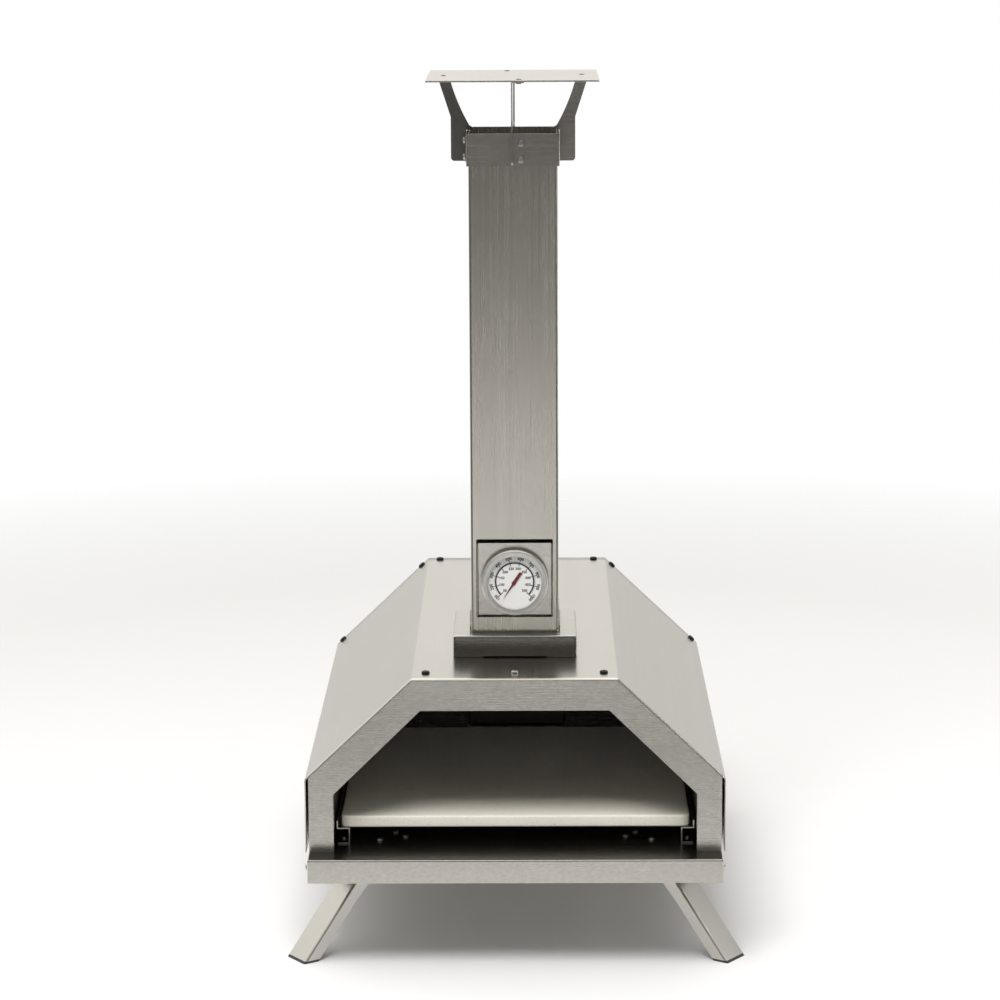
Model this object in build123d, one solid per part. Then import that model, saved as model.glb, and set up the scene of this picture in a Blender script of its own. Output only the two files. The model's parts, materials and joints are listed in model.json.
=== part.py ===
from build123d import *
import os
from math import atan2, cos, radians, sin, tan

# Wood fired pizza oven: a folded steel body on four folding legs, a stone on rails,
# a square chimney with a thermometer and a lift-off cap, and a fuel hopper behind.
# Millimetres, +Z up. The front faces -Y. The origin is on the ground, in the middle.

# ---- driving dimensions ------------------------------------------------------
SHEET = 1.2                # folded steel sheet
THIN = 1.0                 # shell, liner and chimney sheet
GAP = 0.15                 # clearance between pieces that lie on each other
LOOSE = 0.4                # clearance between pieces that move apart

FRONT_Y = -320             # front face of the front panel
BODY_LENGTH = 570          # front panel to rear panel
REAR_Y = FRONT_Y + BODY_LENGTH

TRAY_WIDTH = 400
TRAY_FRONT_Y = FRONT_Y - 25
TRAY_REAR_Y = FRONT_Y + 576
FLOOR_Z = 111.3            # top of the tray's floor
TRAY_BASE_Z = 88           # lower edge of the tray's flanges

# half widths and heights of the chamfered sections: side, top half, shoulder, top
SHELL = (203.0, 99.0, 184.0, 282.8)
MOUTH = (175.4, 90.9, 169.3, 252.3)
PANEL_HALF_WIDTH = 199.3
PANEL_FLANGE = 45          # depth of the front panel's outer flange
MOUTH_FLANGE = 14          # depth of the return round the mouth
FOOT_X = 179               # the panels' feet lie outside this, clear of the liner
LINER_GROW = SHEET + 0.3   # liner's inner face outside the mouth
BOARD = 20                 # insulation board thickness

CHIMNEY_SIDE = 86
CHIMNEY_Y = FRONT_Y + 151
CHIMNEY_TOP_Z = 795.3
COLLAR_WIDTH = 122
COLLAR_LENGTH = 119
COLLAR_HEIGHT = 21.8
COLLAR_TOP_Z = SHELL[3] + COLLAR_HEIGHT
DUCT_SIDE = 82.4           # spigot inside the chimney's foot
DUCT_TOP_Z = 315

WINDOW_WIDTH = 75.4        # recess for the thermometer
WINDOW_LOW_Z = 319.6
WINDOW_TOP_Z = 398.1
GAUGE_Z = 355.8
PLATE_RECESS = 5           # gauge plate behind the chimney's front
GAUGE_PROUD = 13           # bezel in front of the gauge plate
BEZEL_R = 32.8
GLASS_R = 31.4             # lens and dial, clamped between bezel and case
OPEN_R = 26.4              # what the bezel leaves in view
CASE_R = 31.6
STEM_R = 3.2

BAND_SIDE = 90
BAND_HEIGHT = 31.2
CAP_SIDE = 165
CAP_TOP_Z = CHIMNEY_TOP_Z + 53.2
CAP_SHEET = 1.5            # rain plate
BRACKET = 1.5              # thickness of brackets

STONE = 340
STONE_THICK = 11.5
STONE_LIFT = 16.5          # stone's underside above the floor
STONE_FRONT_Y = FRONT_Y + 30
RAIL_WEB_X = 161.4
RAIL_LIP_X = 173

LEG_SPLAY = radians(35.5)  # leg's direction in plan, from the X axis to the front
LEG_LEAN = radians(40)     # leg's angle from the vertical
LEG_WIDTH = 32
LEG_SHEET = 1.5
LEG_BEND = 2.2             # outer radius of the leg's two long bends
LEG_PIVOT_X = 137.5
LEG_PIVOT_Z = 101
LEG_FRONT_Y = FRONT_Y + 63
LEG_REAR_Y = FRONT_Y + 487
LEG_OFFSET = 8             # leg's web outside its pivot
PIN_R = 2.5

HOLE_WIDE = 2.1            # clearance holes for the three screw sizes
HOLE_MID = 1.7
HOLE_FINE = 1.6

HOUSING_HALF = 55          # burner housing's half width
HOUSING_TOP_Z = 176
HOUSING_FRONT_Y = REAR_Y - 95
HOUSING_REAR_Y = 316
TRAY_HALF = 51             # fuel tray's half width
FUEL_TRAY_Z = FLOOR_Z + 3
HOPPER_HALF = 44
HOPPER_FRONT_Y = REAR_Y + 12
HOPPER_REAR_Y = 314
HOPPER_TOP_Z = 240
LID_TOP_Z = HOPPER_TOP_Z + 1.8
LID_FRONT_Y = HOPPER_FRONT_Y - 2.2
LID_HANDLE_Y = LID_FRONT_Y + 14
LID_RIVET_X = 18
HINGE_PIN_R = 1.5
HANDLE_Z = FUEL_TRAY_Z + 20
HANDLE_X = 30              # fuel tray handle's half width
HANDLE_R = 2.0

# ---- fastener places ---------------------------------------------------------
ROOF_SCREWS = [(x, FRONT_Y + d) for d in (27, 561) for x in (-86, 86)]
ROOF_CENTRE = (0, FRONT_Y + 28)
SLOPE_SCREW_INSET = 10
TRAY_SCREWS = [(side, y) for y in (TRAY_FRONT_Y + 13, TRAY_REAR_Y - 13) for side in (-1, 1)]
TRAY_SCREW_Z = FLOOR_Z - 10.5
RAIL_SCREWS = [FRONT_Y + d for d in (45, 200, 355)]
RAIL_SCREW_X = RAIL_WEB_X + 6.5
CAP_SCREW_X = 7.5          # beside the bracket, in its tab
CAP_RIVET = (6, CHIMNEY_Y - 67)
BRACKET_SCREWS = [(-8.5, 19.7), (18.6, 7.0), (18.2, 25.2)]   # inward, sideways of the pivot
CAP_SCREWS = [CHIMNEY_TOP_Z - 9, CHIMNEY_TOP_Z - 24.7]
HOUSING_SCREWS = [(x, z) for x in (-62, 62) for z in (125, 165)]
HOPPER_SCREWS = [(x, HOPPER_FRONT_Y + 32) for x in (-52, 52)]


# ---- helpers -----------------------------------------------------------------
def polygon(points):
    return make_face(Polyline(*points, close=True))


def prism_x(profile, x0, x1):
    """Extrude a (y, z) profile from x0 to x1."""
    return extrude(Plane.YZ.offset(x0) * profile, x1 - x0)


def prism_y(profile, y0, y1):
    """Extrude an (x, z) profile from y0 to y1."""
    return extrude(Plane.XZ.offset(-y0) * profile, -(y1 - y0))


def prism_z(profile, z0, z1):
    """Extrude an (x, y) profile from z0 to z1."""
    return extrude(Pos(0, 0, z0) * profile, z1 - z0)


def block(x0, x1, y0, y1, z0, z1):
    return Pos((x0 + x1) / 2, (y0 + y1) / 2, (z0 + z1) / 2) * Box(x1 - x0, y1 - y0, z1 - z0)


def rod(start, end, radius):
    """Round bar between two points."""
    line = Vector(*end) - Vector(*start)
    return extrude(Plane(origin=start, z_dir=line) * Circle(radius), line.length)


def square_ring(side, wall, z0, z1, corner=2.0):
    outer = RectangleRounded(side, side, corner)
    inner = RectangleRounded(side - 2 * wall, side - 2 * wall, max(corner - wall, 0.4))
    return prism_z(Pos(0, CHIMNEY_Y) * (outer - inner), z0, z1)


def section(shape, grow=0.0, base=FLOOR_Z, half_width=None):
    """Points of a chamfered section, each side moved out by grow."""
    side, top_half, shoulder, top = shape
    lean = atan2(side - top_half, top - shoulder)
    x_side = side + grow
    z_shoulder = shoulder + grow * tan(lean / 2)
    x_top = top_half + grow * tan((radians(90) - lean) / 2)
    if half_width is not None:
        z_shoulder += (x_side - half_width) / tan(lean)
        x_side = half_width
    right = [(x_side, base), (x_side, z_shoulder), (x_top, top + grow)]
    return right + [(-x, z) for x, z in reversed(right)]


def arch(points, radius):
    """Face of a chamfered section with its four upper bends rounded."""
    face = polygon(points)
    base = min(z for _, z in points)
    bends = [v for v in face.vertices() if v.Y > base + 1]
    return fillet(bends, radius)


def hoop(shape, grow, wall, y0, y1, base, half_width=None, radius=3.0):
    """Folded sheet that follows a chamfered section and is open at the bottom."""
    outer = arch(section(shape, grow, base, half_width), radius)
    inner_half = None if half_width is None else half_width - wall
    inner = arch(section(shape, grow - wall, base - 5, inner_half), max(radius - wall, 0.5))
    return prism_y(outer, y0, y1) - prism_y(inner, y0 - 1, y1 + 1)


def drill(solid, centre, direction, radius, depth=12):
    """Round hole through a sheet, both ways from its centre."""
    plane = Plane(origin=centre, z_dir=direction)
    return solid - extrude(plane * Circle(radius), depth, both=True)


def pan_screw(centre, direction, head_r=4.0, head_h=2.4, shank_r=2.0, length=7.0, cross=True):
    """Pan-head screw whose head sits on centre and points along direction."""
    dome = Cylinder(head_r, head_h, align=(Align.CENTER, Align.CENTER, Align.MIN))
    dome = fillet(dome.edges().group_by(Axis.Z)[-1], head_h * 0.6)
    shank = Pos(0, 0, -length) * Cylinder(
        shank_r, length, align=(Align.CENTER, Align.CENTER, Align.MIN))
    screw = dome + shank
    if cross:
        for turn in (0, 90):
            slot = Rot(0, 0, turn) * Box(head_r * 1.1, 0.9, 2.4)
            screw -= Pos(0, 0, head_h) * slot
    return Plane(origin=centre, z_dir=direction) * screw


def save(name, pieces):
    """Write one sub-part, a single piece or a group of separate pieces."""
    pieces = pieces if isinstance(pieces, list) else [pieces]
    solids = [s for piece in pieces for s in piece.solids()]
    shape = solids[0] if len(solids) == 1 else Compound(children=solids)
    export_step(shape, f"parts/{name}.step")


# ---- base --------------------------------------------------------------------
def slope_screws():
    """Centre and direction of the two rear screws on each sloping side."""
    side, top_half, shoulder, top = SHELL
    along = Vector(top_half - side, 0, top - shoulder).normalized()
    out = Vector(along.Z, 0, -along.X)
    low = Vector(side, FRONT_Y + 561, shoulder) + along * SLOPE_SCREW_INSET
    high = Vector(top_half, FRONT_Y + 561, top) - along * SLOPE_SCREW_INSET
    places = []
    for point in (low, high):
        places.append((point, out))
        places.append((Vector(-point.X, point.Y, point.Z), Vector(-out.X, 0, out.Z)))
    return places


def leg_frames():
    """For each leg: its name, pivot, inward direction and sideways direction."""
    frames = []
    for end, y, sign_y in (("front", LEG_FRONT_Y, -1), ("rear", LEG_REAR_Y, 1)):
        for hand, sign_x in (("left", -1), ("right", 1)):
            inward = Vector(-sign_x * cos(LEG_SPLAY), -sign_y * sin(LEG_SPLAY), 0)
            sideways = Vector(-sign_x * sin(LEG_SPLAY), sign_y * cos(LEG_SPLAY), 0)
            pivot = Vector(sign_x * LEG_PIVOT_X, y, LEG_PIVOT_Z)
            frames.append((f"{end}_{hand}", pivot, inward, sideways))
    return frames


def bracket_screw_places():
    places = []
    for _, pivot, inward, sideways in leg_frames():
        for reach, shift in BRACKET_SCREWS:
            point = pivot + inward * reach + sideways * shift
            places.append((point.X, point.Y))
    return places


def base_tray():
    """Folded pan, upside down: a floor with a flange down each side."""
    half = TRAY_WIDTH / 2
    pan = block(-half, half, TRAY_FRONT_Y, TRAY_REAR_Y, TRAY_BASE_Z, FLOOR_Z)
    pan = fillet(pan.edges().filter_by(Axis.Z) + pan.edges().group_by(Axis.Z)[-1], 2.0)
    pan -= block(-half + SHEET, half - SHEET, TRAY_FRONT_Y + SHEET, TRAY_REAR_Y - SHEET,
                 TRAY_BASE_Z - 1, FLOOR_Z - SHEET)
    for side, y in TRAY_SCREWS:
        pan = drill(pan, (side * half, y, TRAY_SCREW_Z), (1, 0, 0), HOLE_WIDE, 6)
    for x, y in bracket_screw_places():
        pan = drill(pan, (x, y, FLOOR_Z), (0, 0, 1), HOLE_WIDE, 6)
    for y in RAIL_SCREWS:
        for side in (-1, 1):
            pan = drill(pan, (side * RAIL_SCREW_X, y, FLOOR_Z), (0, 0, 1), HOLE_MID, 6)
    return pan


def plain_screws():
    """Plain steel screws: the tray's corners and the middle of the roof's front."""
    screws = [pan_screw((side * (TRAY_WIDTH / 2), y, TRAY_SCREW_Z), (side, 0, 0),
                        head_r=3.4, length=6) for side, y in TRAY_SCREWS]
    screws.append(pan_screw((*ROOF_CENTRE, SHELL[3]), (0, 0, 1), head_r=3.4, length=6))
    return screws


def stone_rail(side):
    """Z-shaped rail: foot on the floor, web, shelf and an upstand beside the stone."""
    z0 = FLOOR_Z + GAP
    top = FLOOR_Z + STONE_LIFT - 0.4
    lip = RAIL_LIP_X
    points = [(RAIL_WEB_X, z0), (lip, z0), (lip, z0 + SHEET), (RAIL_WEB_X + SHEET, z0 + SHEET),
              (RAIL_WEB_X + SHEET, top - SHEET), (lip + SHEET, top - SHEET),
              (lip + SHEET, top + 7), (lip, top + 7), (lip, top), (RAIL_WEB_X, top)]
    rail = prism_y(polygon(points), STONE_FRONT_Y, STONE_FRONT_Y + STONE + 8)
    stop = block(RAIL_WEB_X, lip, STONE_FRONT_Y + STONE + LOOSE, STONE_FRONT_Y + STONE + 1.6,
                 top, top + 9)
    rail += stop
    for y in RAIL_SCREWS:
        rail = drill(rail, (RAIL_SCREW_X, y, z0), (0, 0, 1), HOLE_MID, 4)
    return rail if side > 0 else mirror(rail, Plane.YZ)


def rail_screws():
    top = FLOOR_Z + GAP + SHEET
    return [pan_screw((side * RAIL_SCREW_X, y, top), (0, 0, 1), head_r=3.0,
                      head_h=1.8, shank_r=1.5, length=6) for y in RAIL_SCREWS for side in (-1, 1)]


def baking_stone():
    z0 = FLOOR_Z + STONE_LIFT
    slab = block(-STONE / 2, STONE / 2, STONE_FRONT_Y, STONE_FRONT_Y + STONE, z0, z0 + STONE_THICK)
    slab = fillet(slab.edges().filter_by(Axis.Z), 8)
    rims = slab.edges().group_by(Axis.Z)
    return fillet(rims[0] + rims[-1], 2.5)


# ---- legs --------------------------------------------------------------------
def leg_plane(pivot, inward):
    """Plane of a leg's side view: x points inward, y points up, z sideways."""
    return Plane(origin=pivot, x_dir=inward, z_dir=inward.cross(Vector(0, 0, 1)))


def long_bends(body, pivot, inward):
    """The two long edges between a leg's web and its flanges."""
    out = inward * -cos(LEG_LEAN) + Vector(0, 0, sin(LEG_LEAN))
    on_web = [e for e in body.edges() if abs((e.center() - pivot).dot(out) - LEG_OFFSET) < 0.1]
    return [e for e in on_web if e.length > 3 * LEG_WIDTH]


def leg_solid(pivot, inward, base_z):
    """Channel leg: web outwards, a flange each side, cut flat at base_z."""
    length = (LEG_PIVOT_Z + 20) / cos(LEG_LEAN)
    down = Vector(-sin(LEG_LEAN), -cos(LEG_LEAN))
    out = Vector(-cos(LEG_LEAN), sin(LEG_LEAN))

    def at(along, away):
        point = down * along + out * away
        return (point.X, point.Y)

    deep, slim = 7.0, 4.5      # flange edge beyond the pivot line at the top and the foot
    side_view = polygon([at(1, LEG_OFFSET), at(length, LEG_OFFSET), at(length, -slim),
                         at(62, -slim), at(24, -deep), at(4, -deep), at(-5, -3.5),
                         at(-5, 3), at(1, 5)])
    hollow = polygon([at(-30, LEG_OFFSET - LEG_SHEET), at(length + 5, LEG_OFFSET - LEG_SHEET),
                      at(length + 5, -30), at(-30, -30)])
    plane = leg_plane(pivot, inward)
    half = LEG_WIDTH / 2
    body = extrude(plane * side_view, half, both=True)
    body = fillet(long_bends(body, pivot, inward), LEG_BEND)
    body -= extrude(plane * hollow, half - LEG_SHEET, both=True)
    body -= extrude(plane * Circle(PIN_R + GAP), half + 5, both=True)
    ground = Pos(pivot.X, pivot.Y, base_z - 100) * Box(500, 500, 200)
    return body - ground


def leg(pivot, inward):
    return leg_solid(pivot, inward, 2.2)


def leg_foot(pivot, inward):
    """Plastic shoe on the cut end of the leg."""
    slab = leg_solid(pivot, inward, 0.0)
    slab &= Pos(pivot.X, pivot.Y, 1.0) * Box(500, 500, 2.0)
    return slab


def leg_bracket(pivot, inward, sideways):
    """Plate under the floor with two ears that carry the pin."""
    plate_top = FLOOR_Z - SHEET - GAP
    plane = Plane(origin=Vector(pivot.X, pivot.Y, plate_top - LEG_SHEET), x_dir=inward,
                  z_dir=(0, 0, 1))
    hand = 1 if plane.y_dir.dot(sideways) > 0 else -1
    outline = polygon([(x, hand * y) for x, y in
                       [(-9, -13), (12, -13), (25, 0), (25, 31), (-15, 31), (-15, 12.5), (-9, 12.5)]])
    bracket = extrude(plane * outline, LEG_SHEET)
    for reach, shift in BRACKET_SCREWS:
        point = pivot + inward * reach + sideways * shift
        bracket = drill(bracket, (point.X, point.Y, plate_top), (0, 0, 1), HOLE_WIDE, 4)
    rise = plate_top - LEG_PIVOT_Z - 0.5
    ear_view = polygon([(-4.5, rise), (-4.5, 0), (-3.2, -3.2), (0, -4.8), (4, -4), (9, 2), (9, rise)])
    side_plane = leg_plane(pivot, inward)
    ear_out = LEG_WIDTH / 2 - LEG_SHEET - LOOSE
    ears = extrude(side_plane * ear_view, ear_out, both=True)
    ears -= extrude(side_plane * ear_view, ear_out - LEG_SHEET, both=True)
    bracket += ears
    bracket -= extrude(side_plane * Circle(PIN_R + 0.05), 20, both=True)
    return bracket


def leg_pin(pivot, inward):
    plane = leg_plane(pivot, inward)
    reach = LEG_WIDTH / 2 + LOOSE
    pin = extrude(plane * Circle(PIN_R), reach, both=True)
    for end in (-1, 1):
        head = plane.offset(end * (reach + 0.7)) * Circle(PIN_R + 1.2)
        pin += extrude(head, 0.7, both=True)
    return pin


def leg_bracket_screws():
    return [pan_screw((x, y, FLOOR_Z), (0, 0, 1), head_r=3.3, head_h=2.0, length=6)
            for x, y in bracket_screw_places()]


# ---- body --------------------------------------------------------------------
def flue_hole(solid, side):
    """Square hole for the flue, straight up through a roof."""
    return solid - block(-side / 2, side / 2, CHIMNEY_Y - side / 2, CHIMNEY_Y + side / 2, 200, 330)


def outer_shell():
    base = FLOOR_Z + GAP
    shell = hoop(SHELL, 0, THIN, FRONT_Y + 0.4, REAR_Y, base)
    for side in (-1, 1):
        inner, outer = sorted((side * (SHELL[0] - 12), side * (SHELL[0] - 0.5)))
        shell += block(inner, outer, FRONT_Y + 50, REAR_Y - 50, base, base + THIN)
    shell = flue_hole(shell, DUCT_SIDE + 1)
    for x, y in ROOF_SCREWS + [ROOF_CENTRE]:
        shell = drill(shell, (x, y, SHELL[3]), (0, 0, 1), HOLE_WIDE, 5)
    for centre, out in slope_screws():
        shell = drill(shell, centre, out, HOLE_WIDE, 5)
    return shell


def panel(y_face, direction):
    """Closed pan that fits inside the shell's end: a face and a flange all round."""
    grow = -THIN - GAP
    outline = arch(section(SHELL, grow, FLOOR_Z + GAP, PANEL_HALF_WIDTH), 2.0)
    inner = arch(section(SHELL, grow - SHEET, FLOOR_Z + GAP + SHEET, PANEL_HALF_WIDTH - SHEET), 1.0)
    if direction > 0:
        pan = prism_y(outline, y_face, y_face + PANEL_FLANGE)
        return pan - prism_y(inner, y_face + SHEET, y_face + PANEL_FLANGE + 5)
    pan = prism_y(outline, y_face - PANEL_FLANGE, y_face)
    return pan - prism_y(inner, y_face - PANEL_FLANGE - 5, y_face - SHEET)


def open_foot(pan, y0, y1):
    """Cut a panel's bottom flange away between its two feet."""
    return pan - block(-FOOT_X, FOOT_X, y0, y1, FLOOR_Z, FLOOR_Z + GAP + SHEET + 0.05)


def front_panel():
    """Front pan with the chamfered mouth and a return flange round it."""
    pan = panel(FRONT_Y, 1)
    around = arch(section(MOUTH, SHEET, FLOOR_Z + GAP), 2.2)
    clear = arch(section(MOUTH, 0, FLOOR_Z - 5), 1.0)
    pan += prism_y(around, FRONT_Y + 0.2, FRONT_Y + MOUTH_FLANGE)
    pan -= prism_y(clear, FRONT_Y - 1, FRONT_Y + PANEL_FLANGE + 1)
    pan = open_foot(pan, FRONT_Y + SHEET, FRONT_Y + PANEL_FLANGE + 1)
    for x, z in section(MOUTH, 0.3)[1:5]:
        pan = drill(pan, (x, FRONT_Y + MOUTH_FLANGE / 2 + 0.6, z), (0, 1, 0), 1.3, MOUTH_FLANGE / 2)
    for x, y in ROOF_SCREWS[:2] + [ROOF_CENTRE]:
        pan = drill(pan, (x, y, SHELL[3]), (0, 0, 1), HOLE_WIDE, 6)
    return pan


def rear_panel():
    pan = panel(REAR_Y - 1, -1)
    pan = open_foot(pan, REAR_Y - 1 - PANEL_FLANGE - 1, REAR_Y - 1 - SHEET)
    half = HOUSING_HALF + LOOSE
    pan -= block(-half, half, REAR_Y - 60, REAR_Y + 5, FLOOR_Z - 1, HOUSING_TOP_Z + LOOSE)
    for x, y in ROOF_SCREWS[2:]:
        pan = drill(pan, (x, y, SHELL[3]), (0, 0, 1), HOLE_WIDE, 6)
    for centre, out in slope_screws():
        pan = drill(pan, centre, out, HOLE_WIDE, 6)
    for x, z in HOUSING_SCREWS:
        pan = drill(pan, (x, REAR_Y, z), (0, 1, 0), HOLE_MID, 5)
    return pan


def inner_liner():
    """Dark inner arch of the chamber, standing on outward feet."""
    base = FLOOR_Z + GAP
    y0, y1 = FRONT_Y + 2, REAR_Y - 3
    liner = hoop(MOUTH, LINER_GROW + THIN, THIN, y0, y1, base)
    for side in (-1, 1):
        wall = MOUTH[0] + LINER_GROW + THIN
        inner, outer = sorted((side * (wall - 0.5), side * (wall + 9)))
        liner += block(inner, outer, FRONT_Y + 50, REAR_Y - 50, base, base + THIN)
    return flue_hole(liner, DUCT_SIDE + 0.4)


def insulation_boards():
    """Five rigid ceramic-fibre boards between the liner and the shell."""
    near = section(MOUTH, LINER_GROW + THIN + 1, FLOOR_Z + 3)
    far = section(MOUTH, LINER_GROW + THIN + 1 + BOARD, FLOOR_Z + 3)
    boards = []
    y0, y1 = FRONT_Y + PANEL_FLANGE + 3, REAR_Y - PANEL_FLANGE - 6
    for a, b in zip(range(5), range(1, 6)):
        board = prism_y(polygon([near[a], near[b], far[b], far[a]]), y0, y1)
        for corner in (a, b):
            if 0 < corner < 5:
                mitre = Vector(far[corner][0] - near[corner][0], 0, far[corner][1] - near[corner][1])
                middle = Plane(origin=(near[corner][0], 0, near[corner][1]), x_dir=mitre,
                               z_dir=(0, 1, 0))
                board -= extrude(middle * Rectangle(80, 0.6), 500, both=True)
        boards.append(flue_hole(board, DUCT_SIDE + 4))
    return boards


def cover_screws():
    """Black screws of the roof and of the rear slopes."""
    screws = [pan_screw((x, y, SHELL[3]), (0, 0, 1), length=6) for x, y in ROOF_SCREWS]
    return screws + [pan_screw(centre, out, length=6) for centre, out in slope_screws()]


# ---- chimney -----------------------------------------------------------------
def chimney_collar():
    """Low box on the roof with upstands beside the chimney's foot."""
    z0 = SHELL[3] + GAP
    box = prism_z(Pos(0, CHIMNEY_Y) * RectangleRounded(COLLAR_WIDTH, COLLAR_LENGTH, 3),
                  z0, COLLAR_TOP_Z)
    box = fillet(box.edges().group_by(Axis.Z)[-1], 2.5)
    core = prism_z(Pos(0, CHIMNEY_Y) * RectangleRounded(
        COLLAR_WIDTH - 2 * SHEET, COLLAR_LENGTH - 2 * SHEET, 2), z0 - 1, COLLAR_TOP_Z - SHEET)
    box -= core
    half = DUCT_SIDE / 2 + 0.4
    box -= block(-half, half, CHIMNEY_Y - half, CHIMNEY_Y + half, z0, COLLAR_TOP_Z + 1)
    for side in (-1, 1):
        inner, outer = sorted((side * (CHIMNEY_SIDE / 2 + LOOSE),
                               side * (CHIMNEY_SIDE / 2 + LOOSE + SHEET)))
        box += block(inner, outer, CHIMNEY_Y - 34, CHIMNEY_Y + 34, COLLAR_TOP_Z - 0.5,
                     COLLAR_TOP_Z + 20)
    front = CHIMNEY_Y - COLLAR_LENGTH / 2
    return box - block(-31, 31, front - 1, front + 3, z0 - 1, z0 + 1.2)


def flue_duct():
    """Square spigot from the liner's roof up into the chimney's foot."""
    low = MOUTH[3] + LINER_GROW
    duct = square_ring(DUCT_SIDE, THIN, low, DUCT_TOP_Z)
    flange_z = low + THIN + GAP
    return duct + square_ring(DUCT_SIDE + 3, 2.3, flange_z, flange_z + 1.0, 1.0)


def chimney_tube():
    tube = square_ring(CHIMNEY_SIDE, THIN, COLLAR_TOP_Z + LOOSE, CHIMNEY_TOP_Z, 2.5)
    front = CHIMNEY_Y - CHIMNEY_SIDE / 2
    window = polygon([(-WINDOW_WIDTH / 2, WINDOW_LOW_Z), (WINDOW_WIDTH / 2, WINDOW_LOW_Z),
                      (WINDOW_WIDTH / 2, WINDOW_TOP_Z), (-WINDOW_WIDTH / 2, WINDOW_TOP_Z)])
    return tube - prism_y(fillet(window.vertices(), 1.6), front - 2, front + 6)


def gauge_plate():
    """Set-back plate behind the window, with side walls that hold it to the tube."""
    front = CHIMNEY_Y - CHIMNEY_SIDE / 2
    face_y = front + PLATE_RECESS
    half = WINDOW_WIDTH / 2 - 0.3
    z0, z1 = WINDOW_LOW_Z + 1.2, WINDOW_TOP_Z - 4.7
    plate = block(-half, half, face_y, face_y + SHEET, z0, z1)
    for side in (-1, 1):
        inner, outer = sorted((side * (half - SHEET), side * half))
        plate += block(inner, outer, front + 0.2, face_y + 0.5, z0, z1)
    plate = fillet(plate.edges().filter_by(Axis.Z).group_by(Axis.Y)[-1], 1.0)
    return drill(plate, (0, face_y, GAUGE_Z), (0, 1, 0), OPEN_R, 4)


def gauge_disc(radius, y0, y1, hole=0.0):
    """Round piece of the thermometer between two depths."""
    disc = Pos(0, y0, GAUGE_Z) * Rot(-90, 0, 0) * Cylinder(
        radius, y1 - y0, align=(Align.CENTER, Align.CENTER, Align.MIN))
    if hole:
        disc -= Pos(0, y0 - 1, GAUGE_Z) * Rot(-90, 0, 0) * Cylinder(
            hole, y1 - y0 + 2, align=(Align.CENTER, Align.CENTER, Align.MIN))
    return disc


GAUGE_FRONT_Y = CHIMNEY_Y - CHIMNEY_SIDE / 2 + PLATE_RECESS - GAUGE_PROUD
DIAL_Y = GAUGE_FRONT_Y + 6.2
NEEDLE_AXIS_R = 0.8


def gauge_case():
    """Cup behind the bezel, with a neck through the gauge plate."""
    back = CHIMNEY_Y - CHIMNEY_SIDE / 2 + PLATE_RECESS
    cup = gauge_disc(CASE_R, DIAL_Y + 1.4, back - 0.3)
    cup -= gauge_disc(OPEN_R, DIAL_Y + 1.2, DIAL_Y + 4)
    neck = gauge_disc(8, back - 1, back + 7)
    return cup + neck - gauge_disc(STEM_R + 0.1, DIAL_Y, back + 20)


def gauge_bezel():
    """Rolled ring that holds the lens, open in front of the dial."""
    y0, y1 = GAUGE_FRONT_Y, GAUGE_FRONT_Y + GAUGE_PROUD - 1.2
    ring = gauge_disc(BEZEL_R, y0, y1)
    ring = fillet(ring.edges().group_by(Axis.Y)[0], 2.2)
    ring -= gauge_disc(OPEN_R, y0 - 1, y0 + 3)
    ring -= gauge_disc(CASE_R + GAP, y0 + 2, y1 + 1)
    return ring


def gauge_lens():
    return gauge_disc(GLASS_R, GAUGE_FRONT_Y + 2.15, GAUGE_FRONT_Y + 3.4)


def gauge_dial():
    return gauge_disc(GLASS_R, DIAL_Y, DIAL_Y + 1.2, NEEDLE_AXIS_R + 0.05)


def gauge_needle():
    """Pointer: thin tip to the lower left, wide tail, diamond hub and its axle."""
    outline = polygon([(20.5, 0), (4, 0.9), (2.2, 2.1), (0, 1.6), (-11, 1.6), (-11, -1.6),
                       (0, -1.6), (2.2, -2.1), (4, -0.9)])
    y0 = DIAL_Y - 1.0
    blade = extrude(Rot(0, 0, 236) * outline, 0.5)
    blade = Pos(0, y0 + 0.5, GAUGE_Z) * Rot(90, 0, 0) * blade
    axle = gauge_disc(NEEDLE_AXIS_R, y0 - 0.5, DIAL_Y + 5)
    return blade + axle


def gauge_stem():
    """Probe that reaches into the flue."""
    back = CHIMNEY_Y - CHIMNEY_SIDE / 2 + PLATE_RECESS
    return gauge_disc(STEM_R, DIAL_Y + 6.5, back + 46)


def gauge_nut():
    back = CHIMNEY_Y - CHIMNEY_SIDE / 2 + PLATE_RECESS + 0.3 + SHEET
    washer = gauge_disc(29.5, back, back + 1.5, 8.2)
    hexagon = Plane(origin=(0, back + 1.5, GAUGE_Z), x_dir=(1, 0, 0), z_dir=(0, 1, 0)) * \
        RegularPolygon(12, 6)
    return washer + extrude(hexagon, 4.5) - gauge_disc(8.15, back - 1, back + 8)


# ---- cap ---------------------------------------------------------------------
def turned(solid, quarter):
    """Turn a piece about the chimney's axis by quarter turns."""
    return Pos(0, CHIMNEY_Y) * Rot(0, 0, 90 * quarter) * Pos(0, -CHIMNEY_Y) * solid


def cap_band():
    band = square_ring(BAND_SIDE, THIN, CHIMNEY_TOP_Z - BAND_HEIGHT, CHIMNEY_TOP_Z, 2.0)
    for quarter in range(4):
        for z in CAP_SCREWS:
            point = turned(Pos(CAP_SCREW_X, CHIMNEY_Y - BAND_SIDE / 2, z) * Box(0.1, 0.1, 0.1), quarter)
            centre = point.center()
            direction = (1, 0, 0) if quarter % 2 else (0, 1, 0)
            band = drill(band, centre, direction, HOLE_FINE, 4)
    return band


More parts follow.
